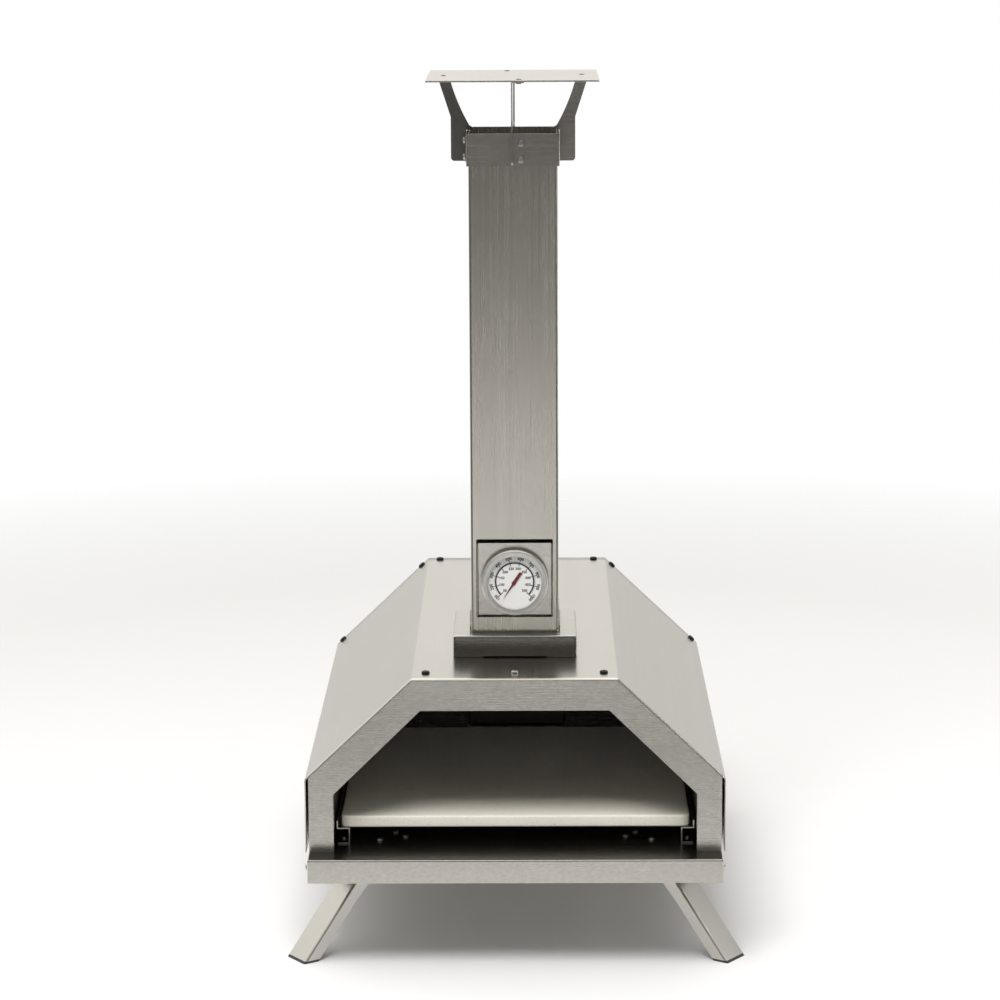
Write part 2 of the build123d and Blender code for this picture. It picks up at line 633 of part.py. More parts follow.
def cap_bracket(quarter):
    """Upright plate from the band to the cap, drawn in front and turned into place."""
    top = CAP_TOP_Z - CAP_SHEET - GAP - CHIMNEY_TOP_Z
    foot = -29.7               # lower end, below the chimney's top
    far = 60.5
    rim = CHIMNEY_SIDE / 2 - THIN - 3.5
    hook = BAND_SIDE / 2 + LOOSE
    inner_curve = ThreePointArc((61.5, top), (53.6, 27.8), (rim + 4, 5))
    rest = Polyline((rim + 4, 5), (rim, 2.5), (rim, LOOSE), (hook, LOOSE), (hook, foot),
                    (far, foot), (far, 13), (73, top), (61.5, top))
    outline = make_face([inner_curve, rest])
    outline = fillet([v for v in outline.vertices() if v.X > 60 and v.Y < foot + 1], 3.5)
    plane = Plane(origin=(0, CHIMNEY_Y, CHIMNEY_TOP_Z), x_dir=(0, -1, 0), z_dir=(-1, 0, 0))
    plate = extrude(plane * outline, BRACKET)
    front = CHIMNEY_Y - BAND_SIDE / 2 - GAP
    z = CHIMNEY_TOP_Z
    tab = block(-0.2 - BRACKET, 11.7, front - BRACKET, front, z + foot, z - 5.5)
    tab = fillet(tab.edges().filter_by(Axis.Y).group_by(Axis.X)[-1], 3.5)
    for screw_z in CAP_SCREWS:
        tab = drill(tab, (CAP_SCREW_X, front, screw_z), (0, 1, 0), HOLE_FINE, 4)
    roof = CAP_TOP_Z - CAP_SHEET - GAP
    top_tab = block(-BRACKET, 11, CHIMNEY_Y - 72, CHIMNEY_Y - 62, roof - BRACKET, roof)
    top_tab = drill(top_tab, (*CAP_RIVET, roof), (0, 0, 1), HOLE_FINE, 4)
    return turned(plate + tab + top_tab, quarter)


def cap_plate():
    """Flat rain plate with blunt corners."""
    plate = Pos(0, CHIMNEY_Y, CAP_TOP_Z - CAP_SHEET / 2) * Box(CAP_SIDE, CAP_SIDE, CAP_SHEET)
    plate = fillet(plate.edges().filter_by(Axis.Z), 1.5)
    for quarter in range(4):
        plate -= turned(Pos(*CAP_RIVET, CAP_TOP_Z) * Cylinder(HOLE_FINE, 10), quarter)
    return plate


def cap_screws():
    """Two screws through each bracket's tab into the band."""
    screws = []
    for quarter in range(4):
        for z in CAP_SCREWS:
            front = CHIMNEY_Y - BAND_SIDE / 2 - GAP - BRACKET
            screw = pan_screw((CAP_SCREW_X, front, z), (0, -1, 0), head_r=3.2, head_h=2.0, shank_r=1.5,
                              length=2.8)
            screws.append(turned(screw, quarter))
    return screws


def cap_rivets():
    """Rivets that join the brackets' top tabs to the rain plate."""
    rivets = []
    for quarter in range(4):
        shank = Pos(*CAP_RIVET, CAP_TOP_Z - 1.4) * Cylinder(1.5, 4.2)
        low = Pos(*CAP_RIVET, CAP_TOP_Z - CAP_SHEET - GAP - BRACKET - 0.5) * Cylinder(2.8, 1.0)
        high = Pos(*CAP_RIVET, CAP_TOP_Z + 0.3) * Cylinder(2.8, 0.6)
        rivets.append(turned(shank + low + high, quarter))
    return rivets


# ---- burner and hopper -------------------------------------------------------
def burner_housing():
    """Sheet tunnel through the rear panel that guides the fuel tray."""
    half, z0 = HOUSING_HALF, FLOOR_Z + GAP
    tunnel = block(-half, half, HOUSING_FRONT_Y, HOUSING_REAR_Y, z0, HOUSING_TOP_Z)
    tunnel -= block(-half + SHEET, half - SHEET, HOUSING_FRONT_Y - 1, HOUSING_REAR_Y + 1,
                    z0 + SHEET, HOUSING_TOP_Z - SHEET)
    tunnel -= block(-half + SHEET, half - SHEET, HOUSING_FRONT_Y - 1, REAR_Y - 12,
                    HOUSING_TOP_Z - 20, HOUSING_TOP_Z + 1)
    fit = HOPPER_HALF - SHEET
    tunnel -= block(-fit, fit, HOPPER_FRONT_Y + SHEET, HOPPER_REAR_Y - SHEET,
                    HOUSING_TOP_Z - 5, HOUSING_TOP_Z + 5)
    y = REAR_Y - 1 + GAP
    for side in (-1, 1):
        inner, outer = sorted((side * (half - 0.4), side * (half + 14)))
        ear = block(inner, outer, y, y + SHEET, z0 + 2, HOUSING_TOP_Z)
        tunnel += ear
    for x, z in HOUSING_SCREWS:
        tunnel = drill(tunnel, (x, y, z), (0, 1, 0), HOLE_MID, 4)
    for x, y_screw in HOPPER_SCREWS:
        tunnel = drill(tunnel, (x, y_screw, HOUSING_TOP_Z), (0, 0, 1), HOLE_MID, 4)
    return tunnel


def hopper_body():
    """Square chute for fuel, with a foot flange and two hinge ears behind."""
    z0 = HOUSING_TOP_Z + GAP
    y0, y1, half = HOPPER_FRONT_Y, HOPPER_REAR_Y, HOPPER_HALF
    chute = block(-half, half, y0, y1, z0, HOPPER_TOP_Z)
    chute = fillet(chute.edges().filter_by(Axis.Z), 2.0)
    chute += block(-half - 11, half + 11, y0, y1, z0, z0 + SHEET)
    chute -= block(-half + SHEET, half - SHEET, y0 + SHEET, y1 - SHEET, z0 - 1, HOPPER_TOP_Z + 1)
    for side in (-1, 1):
        inner, outer = sorted((side * 26, side * (26 + 2)))
        ear = prism_x(polygon([(y1 - 1, HOPPER_TOP_Z - 22), (y1 - 1, HOPPER_TOP_Z - 2),
                               (y1 + 8, HOPPER_TOP_Z - 2), (y1 + 8, HOPPER_TOP_Z - 10)]), inner, outer)
        chute += ear
    axis = hinge_axis()
    chute -= rod((-40, *axis), (40, *axis), HINGE_PIN_R + 0.05)
    for x, y_screw in HOPPER_SCREWS:
        chute = drill(chute, (x, y_screw, z0), (0, 0, 1), HOLE_MID, 4)
    return chute


def hinge_axis():
    """(y, z) of the hopper lid's hinge line."""
    return HOPPER_REAR_Y + 5, HOPPER_TOP_Z - 6


def hopper_lid():
    """Flat lid with a skirt, hinged behind the chute."""
    half = HOPPER_HALF + 2.2
    y0, y1 = LID_FRONT_Y, HOPPER_REAR_Y + 1.6
    z0, z1 = HOPPER_TOP_Z - 8, LID_TOP_Z
    lid = block(-half, half, y0, y1, z0, z1)
    lid = fillet(lid.edges().group_by(Axis.Z)[-1], 1.5)
    lid -= block(-half + SHEET, half - SHEET, y0 + SHEET, y1 + 1, z0 - 1, z1 - SHEET)
    y_hinge, z_hinge = hinge_axis()
    for side in (-1, 1):
        inner, outer = sorted((side * 29, side * 31))
        arm_z = HOPPER_TOP_Z + LOOSE
        knuckle = prism_x(polygon([(y1 - 6, z1 - 0.6), (y_hinge + 3.4, z1 - 0.6),
                                   (y_hinge + 3.4, z_hinge - 3), (y_hinge - 3, z_hinge - 3),
                                   (y_hinge - 3, arm_z), (y1 - 6, arm_z)]), inner, outer)
        lid += knuckle
    lid -= rod((-40, y_hinge, z_hinge), (40, y_hinge, z_hinge), HINGE_PIN_R + 0.05)
    for x in (-LID_RIVET_X, LID_RIVET_X):
        lid = drill(lid, (x, LID_HANDLE_Y, z1), (0, 0, 1), HOLE_FINE, 4)
    return lid


def hopper_hinge_pin():
    y, z = hinge_axis()
    pin = rod((-32, y, z), (32, y, z), HINGE_PIN_R)
    return pin + rod((-33, y, z), (-31.5, y, z), 2.4) + rod((31.5, y, z), (33, y, z), 2.4)


def hopper_lid_handle():
    """Bent strip handle, fixed through the lid by its two feet."""
    z0 = LID_TOP_Z + GAP
    y = LID_HANDLE_Y
    outer = polygon([(-24, z0), (-24, z0 + 2), (-13, z0 + 2), (-11, z0 + 11), (11, z0 + 11),
                     (13, z0 + 2), (24, z0 + 2), (24, z0), (11.5, z0), (9.6, z0 + 9),
                     (-9.6, z0 + 9), (-11.5, z0)])
    handle = prism_y(outer, y - 6, y + 6)
    for x in (-LID_RIVET_X, LID_RIVET_X):
        handle = drill(handle, (x, y, z0), (0, 0, 1), HOLE_FINE, 4)
    return handle


def fuel_tray():
    """Open pan that slides into the housing, perforated floor above an ash space."""
    half, z0 = TRAY_HALF, FUEL_TRAY_Z
    y0, y1 = HOUSING_FRONT_Y + 4, HOUSING_REAR_Y - 1
    pan = block(-half, half, y0, y1, z0, z0 + 30)
    pan -= block(-half + SHEET, half - SHEET, y0 + SHEET, y1 - SHEET, z0 + SHEET, z0 + 40)
    for x in (-HANDLE_X, HANDLE_X):
        pan = drill(pan, (x, y1, HANDLE_Z), (0, 1, 0), HANDLE_R + 0.1, 3)
    return pan


def fuel_grate():
    """Slotted plate that holds the fire above the ash."""
    half = TRAY_HALF - SHEET - 0.4
    y0, y1 = HOUSING_FRONT_Y + 4 + SHEET + 0.4, HOUSING_REAR_Y - 1 - SHEET - 0.4
    z0 = FUEL_TRAY_Z + 11
    grate = block(-half, half, y0, y1, z0, z0 + 2)
    for row in range(10):
        y = y0 + 14 + row * 14
        for x in (-24, 24):
            grate -= block(x - 18, x + 18, y - 2, y + 2, z0 - 1, z0 + 3)
    for side in (-1, 1):
        inner, outer = sorted((side * (half - 1.5), side * half))
        grate += block(inner, outer, y0, y1, FUEL_TRAY_Z + SHEET + 0.1, z0 + 0.5)
    return grate


def tray_face():
    """Cover plate on the fuel tray's rear end, with air slots."""
    y0 = HOUSING_REAR_Y + LOOSE
    face = block(-58, 58, y0, y0 + 2, FLOOR_Z - 8, HOUSING_TOP_Z + 4)
    face = fillet(face.edges().filter_by(Axis.Y), 4)
    for x in (-18, -6, 6, 18):
        face -= block(x - 2, x + 2, y0 - 1, y0 + 3, FLOOR_Z + 38, FLOOR_Z + 54)
    for x in (-HANDLE_X, HANDLE_X):
        face = drill(face, (x, y0, HANDLE_Z), (0, 1, 0), HANDLE_R + 0.1, 3)
    return face


def tray_handle():
    """Round bar bent into a loop, with ends through the face and the tray."""
    y_in = HOUSING_REAR_Y - 4
    y_out = HOUSING_REAR_Y + 27
    path = FilletPolyline(*[(x, y, HANDLE_Z) for x, y in
                            [(-HANDLE_X, y_in), (-HANDLE_X, y_out), (HANDLE_X, y_out), (HANDLE_X, y_in)]],
                          radius=9)
    start = Plane(origin=(-HANDLE_X, y_in, HANDLE_Z), z_dir=(0, 1, 0))
    return sweep(start * Circle(HANDLE_R), path=path)


def tray_handle_nuts():
    z = HANDLE_Z
    nuts = []
    for x in (-HANDLE_X, HANDLE_X):
        for y in (HOUSING_REAR_Y + LOOSE + 2.1, HOUSING_REAR_Y - 1 - SHEET - 3.1):
            hexagon = Plane(origin=(x, y, z), z_dir=(0, 1, 0)) * RegularPolygon(4, 6)
            bore = Plane(origin=(x, y - 1, z), z_dir=(0, 1, 0)) * Circle(HANDLE_R + 0.02)
            nuts.append(extrude(hexagon, 3) - extrude(bore, 6))
    return nuts


def rear_screws():
    """Screws of the burner housing and of the hopper's foot."""
    y = REAR_Y - 1 + GAP + SHEET
    screws = [pan_screw((x, y, z), (0, 1, 0), head_r=3.2, head_h=2, shank_r=1.6, length=5)
              for x, z in HOUSING_SCREWS]
    z = HOUSING_TOP_Z + GAP + SHEET
    screws += [pan_screw((x, y_screw, z), (0, 0, 1), head_r=3.0, head_h=2, shank_r=1.6, length=4)
               for x, y_screw in HOPPER_SCREWS]
    return screws


def lid_rivets():
    z = LID_TOP_Z + GAP + 2
    return [pan_screw((x, LID_HANDLE_Y, z), (0, 0, 1), head_r=2.8, head_h=1.6, shank_r=1.5,
                      length=4.5, cross=False) for x in (-LID_RIVET_X, LID_RIVET_X)]


# ---- write every sub-part ----------------------------------------------------
os.makedirs("parts", exist_ok=True)

save("base_tray", base_tray())
save("plain_screws", plain_screws())
save("stone_rail_left", stone_rail(-1))
save("stone_rail_right", stone_rail(1))
save("rail_screws", rail_screws())
save("baking_stone", baking_stone())

for name, pivot, inward, sideways in leg_frames():
    save(f"leg_{name}", leg(pivot, inward))
    save(f"leg_foot_{name}", leg_foot(pivot, inward))
    save(f"leg_bracket_{name}", leg_bracket(pivot, inward, sideways))
    save(f"leg_pin_{name}", leg_pin(pivot, inward))
save("leg_bracket_screws", leg_bracket_screws())

save("outer_shell", outer_shell())
save("inner_liner", inner_liner())
save("insulation_boards", insulation_boards())
save("front_panel", front_panel())
save("rear_panel", rear_panel())
save("cover_screws", cover_screws())

save("chimney_collar", chimney_collar())
save("flue_duct", flue_duct())
save("chimney_tube", chimney_tube())
save("gauge_plate", gauge_plate())
save("gauge_case", gauge_case())
save("gauge_bezel", gauge_bezel())
save("gauge_lens", gauge_lens())
save("gauge_dial", gauge_dial())
save("gauge_needle", gauge_needle())
save("gauge_stem", gauge_stem())
save("gauge_nut", gauge_nut())

save("cap_band", cap_band())
for quarter, side in enumerate(("front", "right", "rear", "left")):
    save(f"cap_bracket_{side}", cap_bracket(quarter))
save("cap_plate", cap_plate())
save("cap_screws", cap_screws())
save("cap_rivets", cap_rivets())

save("burner_housing", burner_housing())
save("hopper_body", hopper_body())
save("hopper_lid", hopper_lid())
save("hopper_hinge_pin", hopper_hinge_pin())
save("hopper_lid_handle", hopper_lid_handle())
save("lid_rivets", lid_rivets())
save("fuel_tray", fuel_tray())
save("fuel_grate", fuel_grate())
save("tray_face", tray_face())
save("tray_handle", tray_handle())
save("tray_handle_nuts", tray_handle_nuts())
save("rear_screws", rear_screws())
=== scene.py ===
# %% [markdown]
# # A wood fired pizza oven, finished in Blender
#
# The oven is folded stainless steel: a chamfered shell over a flat tray, a square
# chimney with a thermometer, and a cordierite stone. A CAD model already holds every
# part that fits or moves. Blender adds what the eye reads as real: brushed grain,
# fired clay, printed dial, soft light. Each cell below does one of those jobs.

# %% Load the fixed frame
import json
from math import radians

import bmesh
import bpy
import numpy as np
from mathutils import Matrix, Vector


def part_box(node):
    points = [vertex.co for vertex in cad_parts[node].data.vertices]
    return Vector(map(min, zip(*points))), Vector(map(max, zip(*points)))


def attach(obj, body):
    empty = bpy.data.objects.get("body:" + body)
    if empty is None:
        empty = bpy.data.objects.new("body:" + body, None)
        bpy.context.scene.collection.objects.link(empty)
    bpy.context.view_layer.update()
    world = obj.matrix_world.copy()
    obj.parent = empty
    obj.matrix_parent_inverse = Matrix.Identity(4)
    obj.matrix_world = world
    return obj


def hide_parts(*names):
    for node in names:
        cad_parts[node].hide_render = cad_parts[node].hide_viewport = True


scene = bpy.context.scene
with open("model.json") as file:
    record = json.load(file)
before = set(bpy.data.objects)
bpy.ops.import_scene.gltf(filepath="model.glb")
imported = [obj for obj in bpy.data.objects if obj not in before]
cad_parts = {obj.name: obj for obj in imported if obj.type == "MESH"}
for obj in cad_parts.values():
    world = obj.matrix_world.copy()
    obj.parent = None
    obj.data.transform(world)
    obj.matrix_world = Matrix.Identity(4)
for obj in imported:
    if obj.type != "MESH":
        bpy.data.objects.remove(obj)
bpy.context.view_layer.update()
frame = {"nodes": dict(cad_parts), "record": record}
NODES = frame["nodes"]

# %% [markdown]
# ## Camera
#
# The oven is seen from the front and a little above, from about three metres, with a
# long lens. The far viewpoint keeps the sides nearly parallel, as a catalogue picture
# does. The camera looks down a little instead of shifting the lens, so that every
# other view of the same scene still finds the oven in the middle.

# %% Place the camera
FRONT_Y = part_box("front_panel")[0].y
CAMERA_BACK = 3.1          # metres in front of the front panel
CAMERA_SIDE = 0.0167       # to the right of the middle
CAMERA_HEIGHT = 1.052      # above the table
VIEW_LINE = Vector((-0.0096, 1.0, -0.1916))
CAMERA_ROLL = radians(0.3)
LENS_MM, SENSOR_MM = 120.0, 36.0

camera_data = bpy.data.cameras.new("camera")
camera_data.lens, camera_data.sensor_width = LENS_MM, SENSOR_MM
camera = bpy.data.objects.new("camera", camera_data)
camera.location = (CAMERA_SIDE, FRONT_Y - CAMERA_BACK, CAMERA_HEIGHT)
aim = VIEW_LINE.to_track_quat("-Z", "Y").to_matrix()
camera.rotation_euler = (aim @ Matrix.Rotation(-CAMERA_ROLL, 3, "Z")).to_euler()
scene.collection.objects.link(camera)
scene.camera = camera
print("camera at", tuple(round(v, 3) for v in camera.location))

# %% [markdown]
# ## Shader maths as Python
#
# A finish is a small sum of patterns. Adding nodes one by one hides that sum, so this
# class wraps one node output and lets ordinary operators add the Math nodes. Every
# other kind of node comes from its one method `add`.


# %% One class for shader maths
class Pattern:
    """One output of a shader node; operators on it add Math nodes."""

    def __init__(self, tree, output=None):
        self.tree, self.output = tree, output

    def add(self, kind, settings=None, inputs=None, output=0):
        """Any node: its type, its settings, then its sockets' values or links."""
        node = self.tree.nodes.new("ShaderNode" + kind)
        for name, value in (settings or {}).items():
            setattr(node, name, value)
        for name, value in (inputs or {}).items():
            if isinstance(value, Pattern):
                self.tree.links.new(value.output, node.inputs[name])
            else:
                node.inputs[name].default_value = value
        return Pattern(self.tree, node.outputs[output])

    def part(self, index):
        """Another output of the same node."""
        return Pattern(self.tree, self.output.node.outputs[index])

    def math(self, operation, first, second=0.0, clamp=False):
        """One Math node on two values, kept between 0 and 1 if clamped."""
        return self.add("Math", {"operation": operation, "use_clamp": clamp}, {0: first, 1: second})

    def __add__(self, other):
        return self.math("ADD", self, other)

    def __radd__(self, other):
        return self.math("ADD", other, self)

    def __sub__(self, other):
        return self.math("SUBTRACT", self, other)

    def __rsub__(self, other):
        return self.math("SUBTRACT", other, self)

    def __mul__(self, other):
        return self.math("MULTIPLY", self, other)

    def __rmul__(self, other):
        return self.math("MULTIPLY", other, self)

    def between(self, low, high):
        """0 below low, 1 above high, and straight between."""
        return self.math("MULTIPLY", self - low, 1.0 / (high - low), clamp=True)


print("shader maths ready:", [name for name in vars(Pattern) if not name.startswith("__")])

# %% [markdown]
# ## Words for patterns
#
# Four helpers read better than nodes: `mix` blends two colours by a pattern, `noise`
# makes cloudy random values, `stretched` pulls the coordinates so that clouds become a
# grain, and `shine` lets a height pattern tilt the light. Every pattern starts from
# Object coordinates, in metres, so a grain has its true size on every part.


# %% Colours, noise and relief
def mix(factor, dark, light):
    """Colour between dark and light."""
    return factor.add("Mix", {"data_type": "RGBA"}, {0: factor, 6: dark, 7: light}, 2)


def noise(place, scale, detail=2.0, rough=0.5):
    """Cloudy values around a half; more detail adds finer clouds."""
    return place.add("TexNoise", {}, {"Vector": place, "Scale": scale, "Detail": detail,
                                      "Roughness": rough})


def on_object(start):
    """The Object output of a Texture Coordinate node."""
    return start.add("TexCoord", output=3)


def stretched(start, scale):
    """Object coordinates, stretched so that a noise on them becomes a grain."""
    return start.add("Mapping", {}, {"Vector": on_object(start), "Scale": scale})


def new_finish(name):
    """An empty material, its start pattern and its shader node."""
    material = bpy.data.materials.new(name)
    material.use_nodes = True
    tree = material.node_tree
    shader = tree.nodes["Principled BSDF"]
    return material, Pattern(tree), shader


def feed(shader, name, value):
    """Link a pattern to a shader socket, or set a plain value on it."""
    if isinstance(value, Pattern):
        value.tree.links.new(value.output, shader.inputs[name])
    else:
        shader.inputs[name].default_value = value


def grey(level, warm=0.0):
    """A steel colour: a level and a little warmth."""
    return level, level * (1 - warm * 0.35), level * (1 - warm), 1.0


def shine(start, height, distance):
    """Bump from a height pattern; distance is its full height in metres."""
    return start.add("Bump", {}, {"Height": height, "Distance": distance, "Strength": 1.0})


print("a light warm steel colour is", [round(part, 3) for part in grey(0.6, 0.11)])

# %% [markdown]
# ## Brushed steel
#
# Brushing drags a belt along the sheet and leaves fine parallel scratches. Seen from
# a metre they merge into streaks that are long one way and thin the other. A noise on
# stretched coordinates gives just that. A second, slow noise is the uneven pressure
# of the belt. The streaks change the roughness more than the colour, so that they
# show where the steel reflects something and vanish where it doesn't.


# %% Brushed steel
SCRATCH_LONG, SCRATCH_SHORT = 2.2, 900.0   # waves to the metre, along and across
SATIN_LONG, SATIN_SHORT = 210.0, 330.0
BAND_SHARE = 0.12                          # the belt's wider bands
BLOTCH = (7.0, 7.0, 7.0)                   # slow changes of pressure


def brushed_steel(name, along, level=0.62, warm=0.11, rough=0.34, streak=0.05, mottle=0.05,
                  bump=0.000006, painted_shade=None):
    """Steel with a grain along x, y or z. Where one face is painted darker as shade, the last argument
    says along which axis, from where, to where, and to which level."""
    material, start, shader = new_finish(name)
    scratch, satin = [SCRATCH_SHORT] * 3, [SATIN_SHORT] * 3
    scratch["xyz".index(along)], satin["xyz".index(along)] = SCRATCH_LONG, SATIN_LONG
    grain = noise(stretched(start, scratch), 1.0, 2.0, 0.5)
    bands = noise(stretched(start, [wave * BAND_SHARE for wave in scratch]), 1.0, 3.0, 0.5)
    blotch = noise(stretched(start, BLOTCH), 1.0, 3.0, 0.55)
    mottled = noise(stretched(start, satin), 1.0, 3.0, 0.7)
    tone = (grain - 0.5) * streak + (bands - 0.5) * streak + (mottled - 0.5) * mottle
    tone = tone + (blotch - 0.5) * 0.08 + 0.5
    colour = mix(tone, grey(level - 0.3, warm), grey(level + 0.3, warm))
    # Painted shade: past a given place along one axis, the face gets a darker copy of the colour.
    if painted_shade:
        axis, clean, shade_full, dark = painted_shade
        place = start.add("SeparateXYZ", {}, {0: on_object(start)}, "xyz".index(axis))
        darkened = mix(tone, grey(dark * 0.4, warm), grey(dark * 1.6, warm))
        colour = mix(place.between(clean, shade_full), colour, darkened)
    feed(shader, "Base Color", colour)
    feed(shader, "Roughness", (grain - 0.5) * 0.1 + (blotch - 0.5) * 0.1 + rough)
    feed(shader, "Metallic", 1.0)
    feed(shader, "Normal", shine(start, grain + mottled * 0.6, bump))
    return material


print("steel is drawn with", SCRATCH_SHORT, "waves to the metre across the grain")

# %% [markdown]
# ## The oven's steels
#
# Every sheet is the same stainless steel, yet no two look alike: the tray and panels
# were brushed across, the shell from front to back, the chimney upwards, and the legs
# hardly at all. Each could have nodes of its own, but they would differ only in a few
# numbers, so one function with a few settings makes them all.

# %% One finish for each brushing
STEEL_X = brushed_steel("steel_brushed_across", "x", level=0.55, rough=0.25, streak=0.14, mottle=0.5)
STEEL_Y = brushed_steel("steel_brushed_back", "y", level=0.66, rough=0.24)
STEEL_Z = brushed_steel("steel_brushed_up", "z", level=0.57, warm=0.14, rough=0.26, streak=0.18,
                        mottle=0.04, bump=0.000003)
PANEL_STEEL = brushed_steel("steel_panel", "x", level=0.55, rough=0.27, streak=0.04, mottle=0.55,
                            bump=0.000003)
LEG_STEEL = brushed_steel("steel_legs", "z", level=0.58, rough=0.3, streak=0.03, mottle=0.06,
                          bump=0.0000008)
# Painted light: the cap's steel is paler than the other sheets, for its brightly lit top.
LIT_CAP_STEEL = brushed_steel("steel_cap_painted_light", "x", level=0.76, rough=0.3, mottle=0.1)
# Painted shade: the left cap bracket gets a much darker copy of the brushed steel, for the shade it
# sits in.
SHADED_BRACKET_STEEL = brushed_steel("steel_bracket_painted_shade", "x", level=0.18, rough=0.3, mottle=0.12, bump=0.000003)
# A darker steel, used for the flue duct, the fuel tray and the grate.
DARK_STEEL = brushed_steel("steel_dark_inner", "y", level=0.34, warm=0.14, rough=0.55)
print("steels without shaded_face:", sum(name.startswith("steel") for name in bpy.data.materials.keys()))

# %% [markdown]
# ## Steels with painted shade
#
# The tray's upper face, the liner's crown, the inside of the rear panel and the collar's
# front are painted darker, as the shade that falls on them. A painted mask could mark
# them, but each such face lies at one height or depth, so its place along one axis is
# enough. The two places say where the plain metal ends and where the full painted shade
# begins.

# %% Four steels with painted shade
TRAY_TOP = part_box("base_tray")[1].z
LINER_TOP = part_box("inner_liner")[1].z
REAR_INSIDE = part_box("rear_panel")[1].y - 0.001
COLLAR_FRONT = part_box("chimney_collar")[0].y

# Painted shade: the tray's upper face is painted much darker than its lip.
TRAY_STEEL = brushed_steel("steel_tray", "x", level=0.53, rough=0.25, streak=0.06, mottle=0.45,
                           painted_shade=("z", TRAY_TOP - 0.0006, TRAY_TOP - 0.0003, 0.28))
# Painted shade: the inside face of the rear panel is painted nearly black.
REAR_STEEL = brushed_steel("steel_rear", "x", level=0.55, rough=0.25, mottle=0.25,
                           painted_shade=("y", REAR_INSIDE + 0.0004, REAR_INSIDE + 0.0002, 0.16))
# Painted shade: the collar's front face is painted dark, as the shade on the thick flange.
COLLAR_STEEL = brushed_steel("steel_collar", "x", level=0.62, rough=0.27, mottle=0.12, bump=0.000003,
                             painted_shade=("y", COLLAR_FRONT + 0.0012, COLLAR_FRONT + 0.0009, 0.25))
# Painted shade: the whole liner is a darker steel for the shaded inside of the oven, its crown darker
# still.
LINER_STEEL = brushed_steel("steel_liner_painted_shade", "y", level=0.36, warm=0.14, rough=0.55,
                            painted_shade=("z", LINER_TOP - 0.0024, LINER_TOP - 0.0021, 0.06))
print("fired steels:", TRAY_STEEL.name, REAR_STEEL.name, COLLAR_STEEL.name, LINER_STEEL.name)

# %% [markdown]
# ## Plating, plastic, lacquer and board
#
# Screws are zinc plated or blackened, the shoes are moulded plastic, the needle is
# lacquered, the dial is enamelled. Each could be one flat colour, but a real surface
# never is: it carries a fine speckle from its making. So one function spreads a small
# noise over colour, roughness and relief, and its settings make each of them.


# %% Plain finishes
def plain_finish(name, colour, rough, metallic=0.0, speck=0.06, size=400.0, bump=0.00002):
    """A quiet finish with a fine speckle in its colour, roughness and surface."""
    material, start, shader = new_finish(name)
    speckle = noise(stretched(start, (size, size, size)), 1.0, 3.0, 0.6)
    dark = tuple(c * (1 - speck) for c in colour) + (1.0,)
    light = tuple(min(c * (1 + speck), 1.0) for c in colour) + (1.0,)
    feed(shader, "Base Color", mix(speckle.between(0.3, 0.7), dark, light))
    feed(shader, "Roughness", (speckle - 0.5) * 0.15 + rough)
    feed(shader, "Metallic", metallic)
    feed(shader, "Normal", shine(start, speckle, bump))
    return material


BLACK_OXIDE = plain_finish("black_oxide", (0.02, 0.02, 0.02), 0.38, metallic=0.6)
ZINC = plain_finish("zinc_plate", (0.6, 0.6, 0.58), 0.3, metallic=1.0)
BOARD = plain_finish("fibre_board", (0.85, 0.84, 0.8), 0.95, speck=0.1, bump=0.0003)
SHOE = plain_finish("moulded_plastic", (0.03, 0.03, 0.032), 0.55)
POLISHED = plain_finish("polished_steel", (0.78, 0.76, 0.72), 0.2, metallic=1.0, speck=0.03)
SPUN_STEEL = plain_finish("spun_steel", (0.86, 0.84, 0.8), 0.42, metallic=1.0, speck=0.08)
ENAMEL = plain_finish("dial_enamel", (0.97, 0.97, 0.95), 0.5, speck=0.01, size=900.0)
LACQUER = plain_finish("needle_lacquer", (0.16, 0.012, 0.012), 0.35, speck=0.1)
INK = plain_finish("dial_ink", (0.015, 0.015, 0.017), 0.6, speck=0.1, size=900.0)
print("finishes so far:", len(bpy.data.materials))

# %% [markdown]
# ## Fired stone
#
# Cordierite is pressed clay and sand, fired pale. Three sizes of noise build it: slow
# clouds from the kiln, the sand itself, and a few darker grains that only show where
# their noise is near its peak. The sand also makes the relief, so the stone stays dull.


# %% Cordierite
def fired_stone():
    """Pale clay, half clouds and half sand, with sparse darker grains."""
    material, start, shader = new_finish("cordierite")
    sand = noise(stretched(start, (900.0, 900.0, 900.0)), 1.0, 4.0, 0.65)
    cloud = noise(stretched(start, (14.0, 14.0, 14.0)), 1.0, 4.0, 0.6)
    grains = noise(stretched(start, (800.0, 800.0, 800.0)), 1.0, 1.0, 0.5).between(0.68, 0.76)
    body = mix(cloud.between(0.3, 0.7), (0.76, 0.715, 0.625, 1.0), (0.83, 0.79, 0.7, 1.0))
    sandy = mix(sand.between(0.2, 0.8), (0.62, 0.575, 0.49, 1.0), (0.9, 0.87, 0.79, 1.0))
    clay = start.add("Mix", {"data_type": "RGBA"}, {0: 0.5, 6: body, 7: sandy}, 2)
    feed(shader, "Base Color", mix(grains, clay, (0.5, 0.44, 0.35, 1.0)))
    feed(shader, "Roughness", (sand - 0.5) * 0.1 + 0.88)
    feed(shader, "Normal", shine(start, sand - grains * 0.3, 0.00025))
    return material


STONE = fired_stone()
print("stone finish has", len(STONE.node_tree.nodes), "nodes")

# %% [markdown]
# ## Glass
#
# The thermometer's window is thin and clear, and hides little but a faint film. True
# refraction would bend the dial for no gain, so the glass is mostly see-through and
# keeps only its gloss.


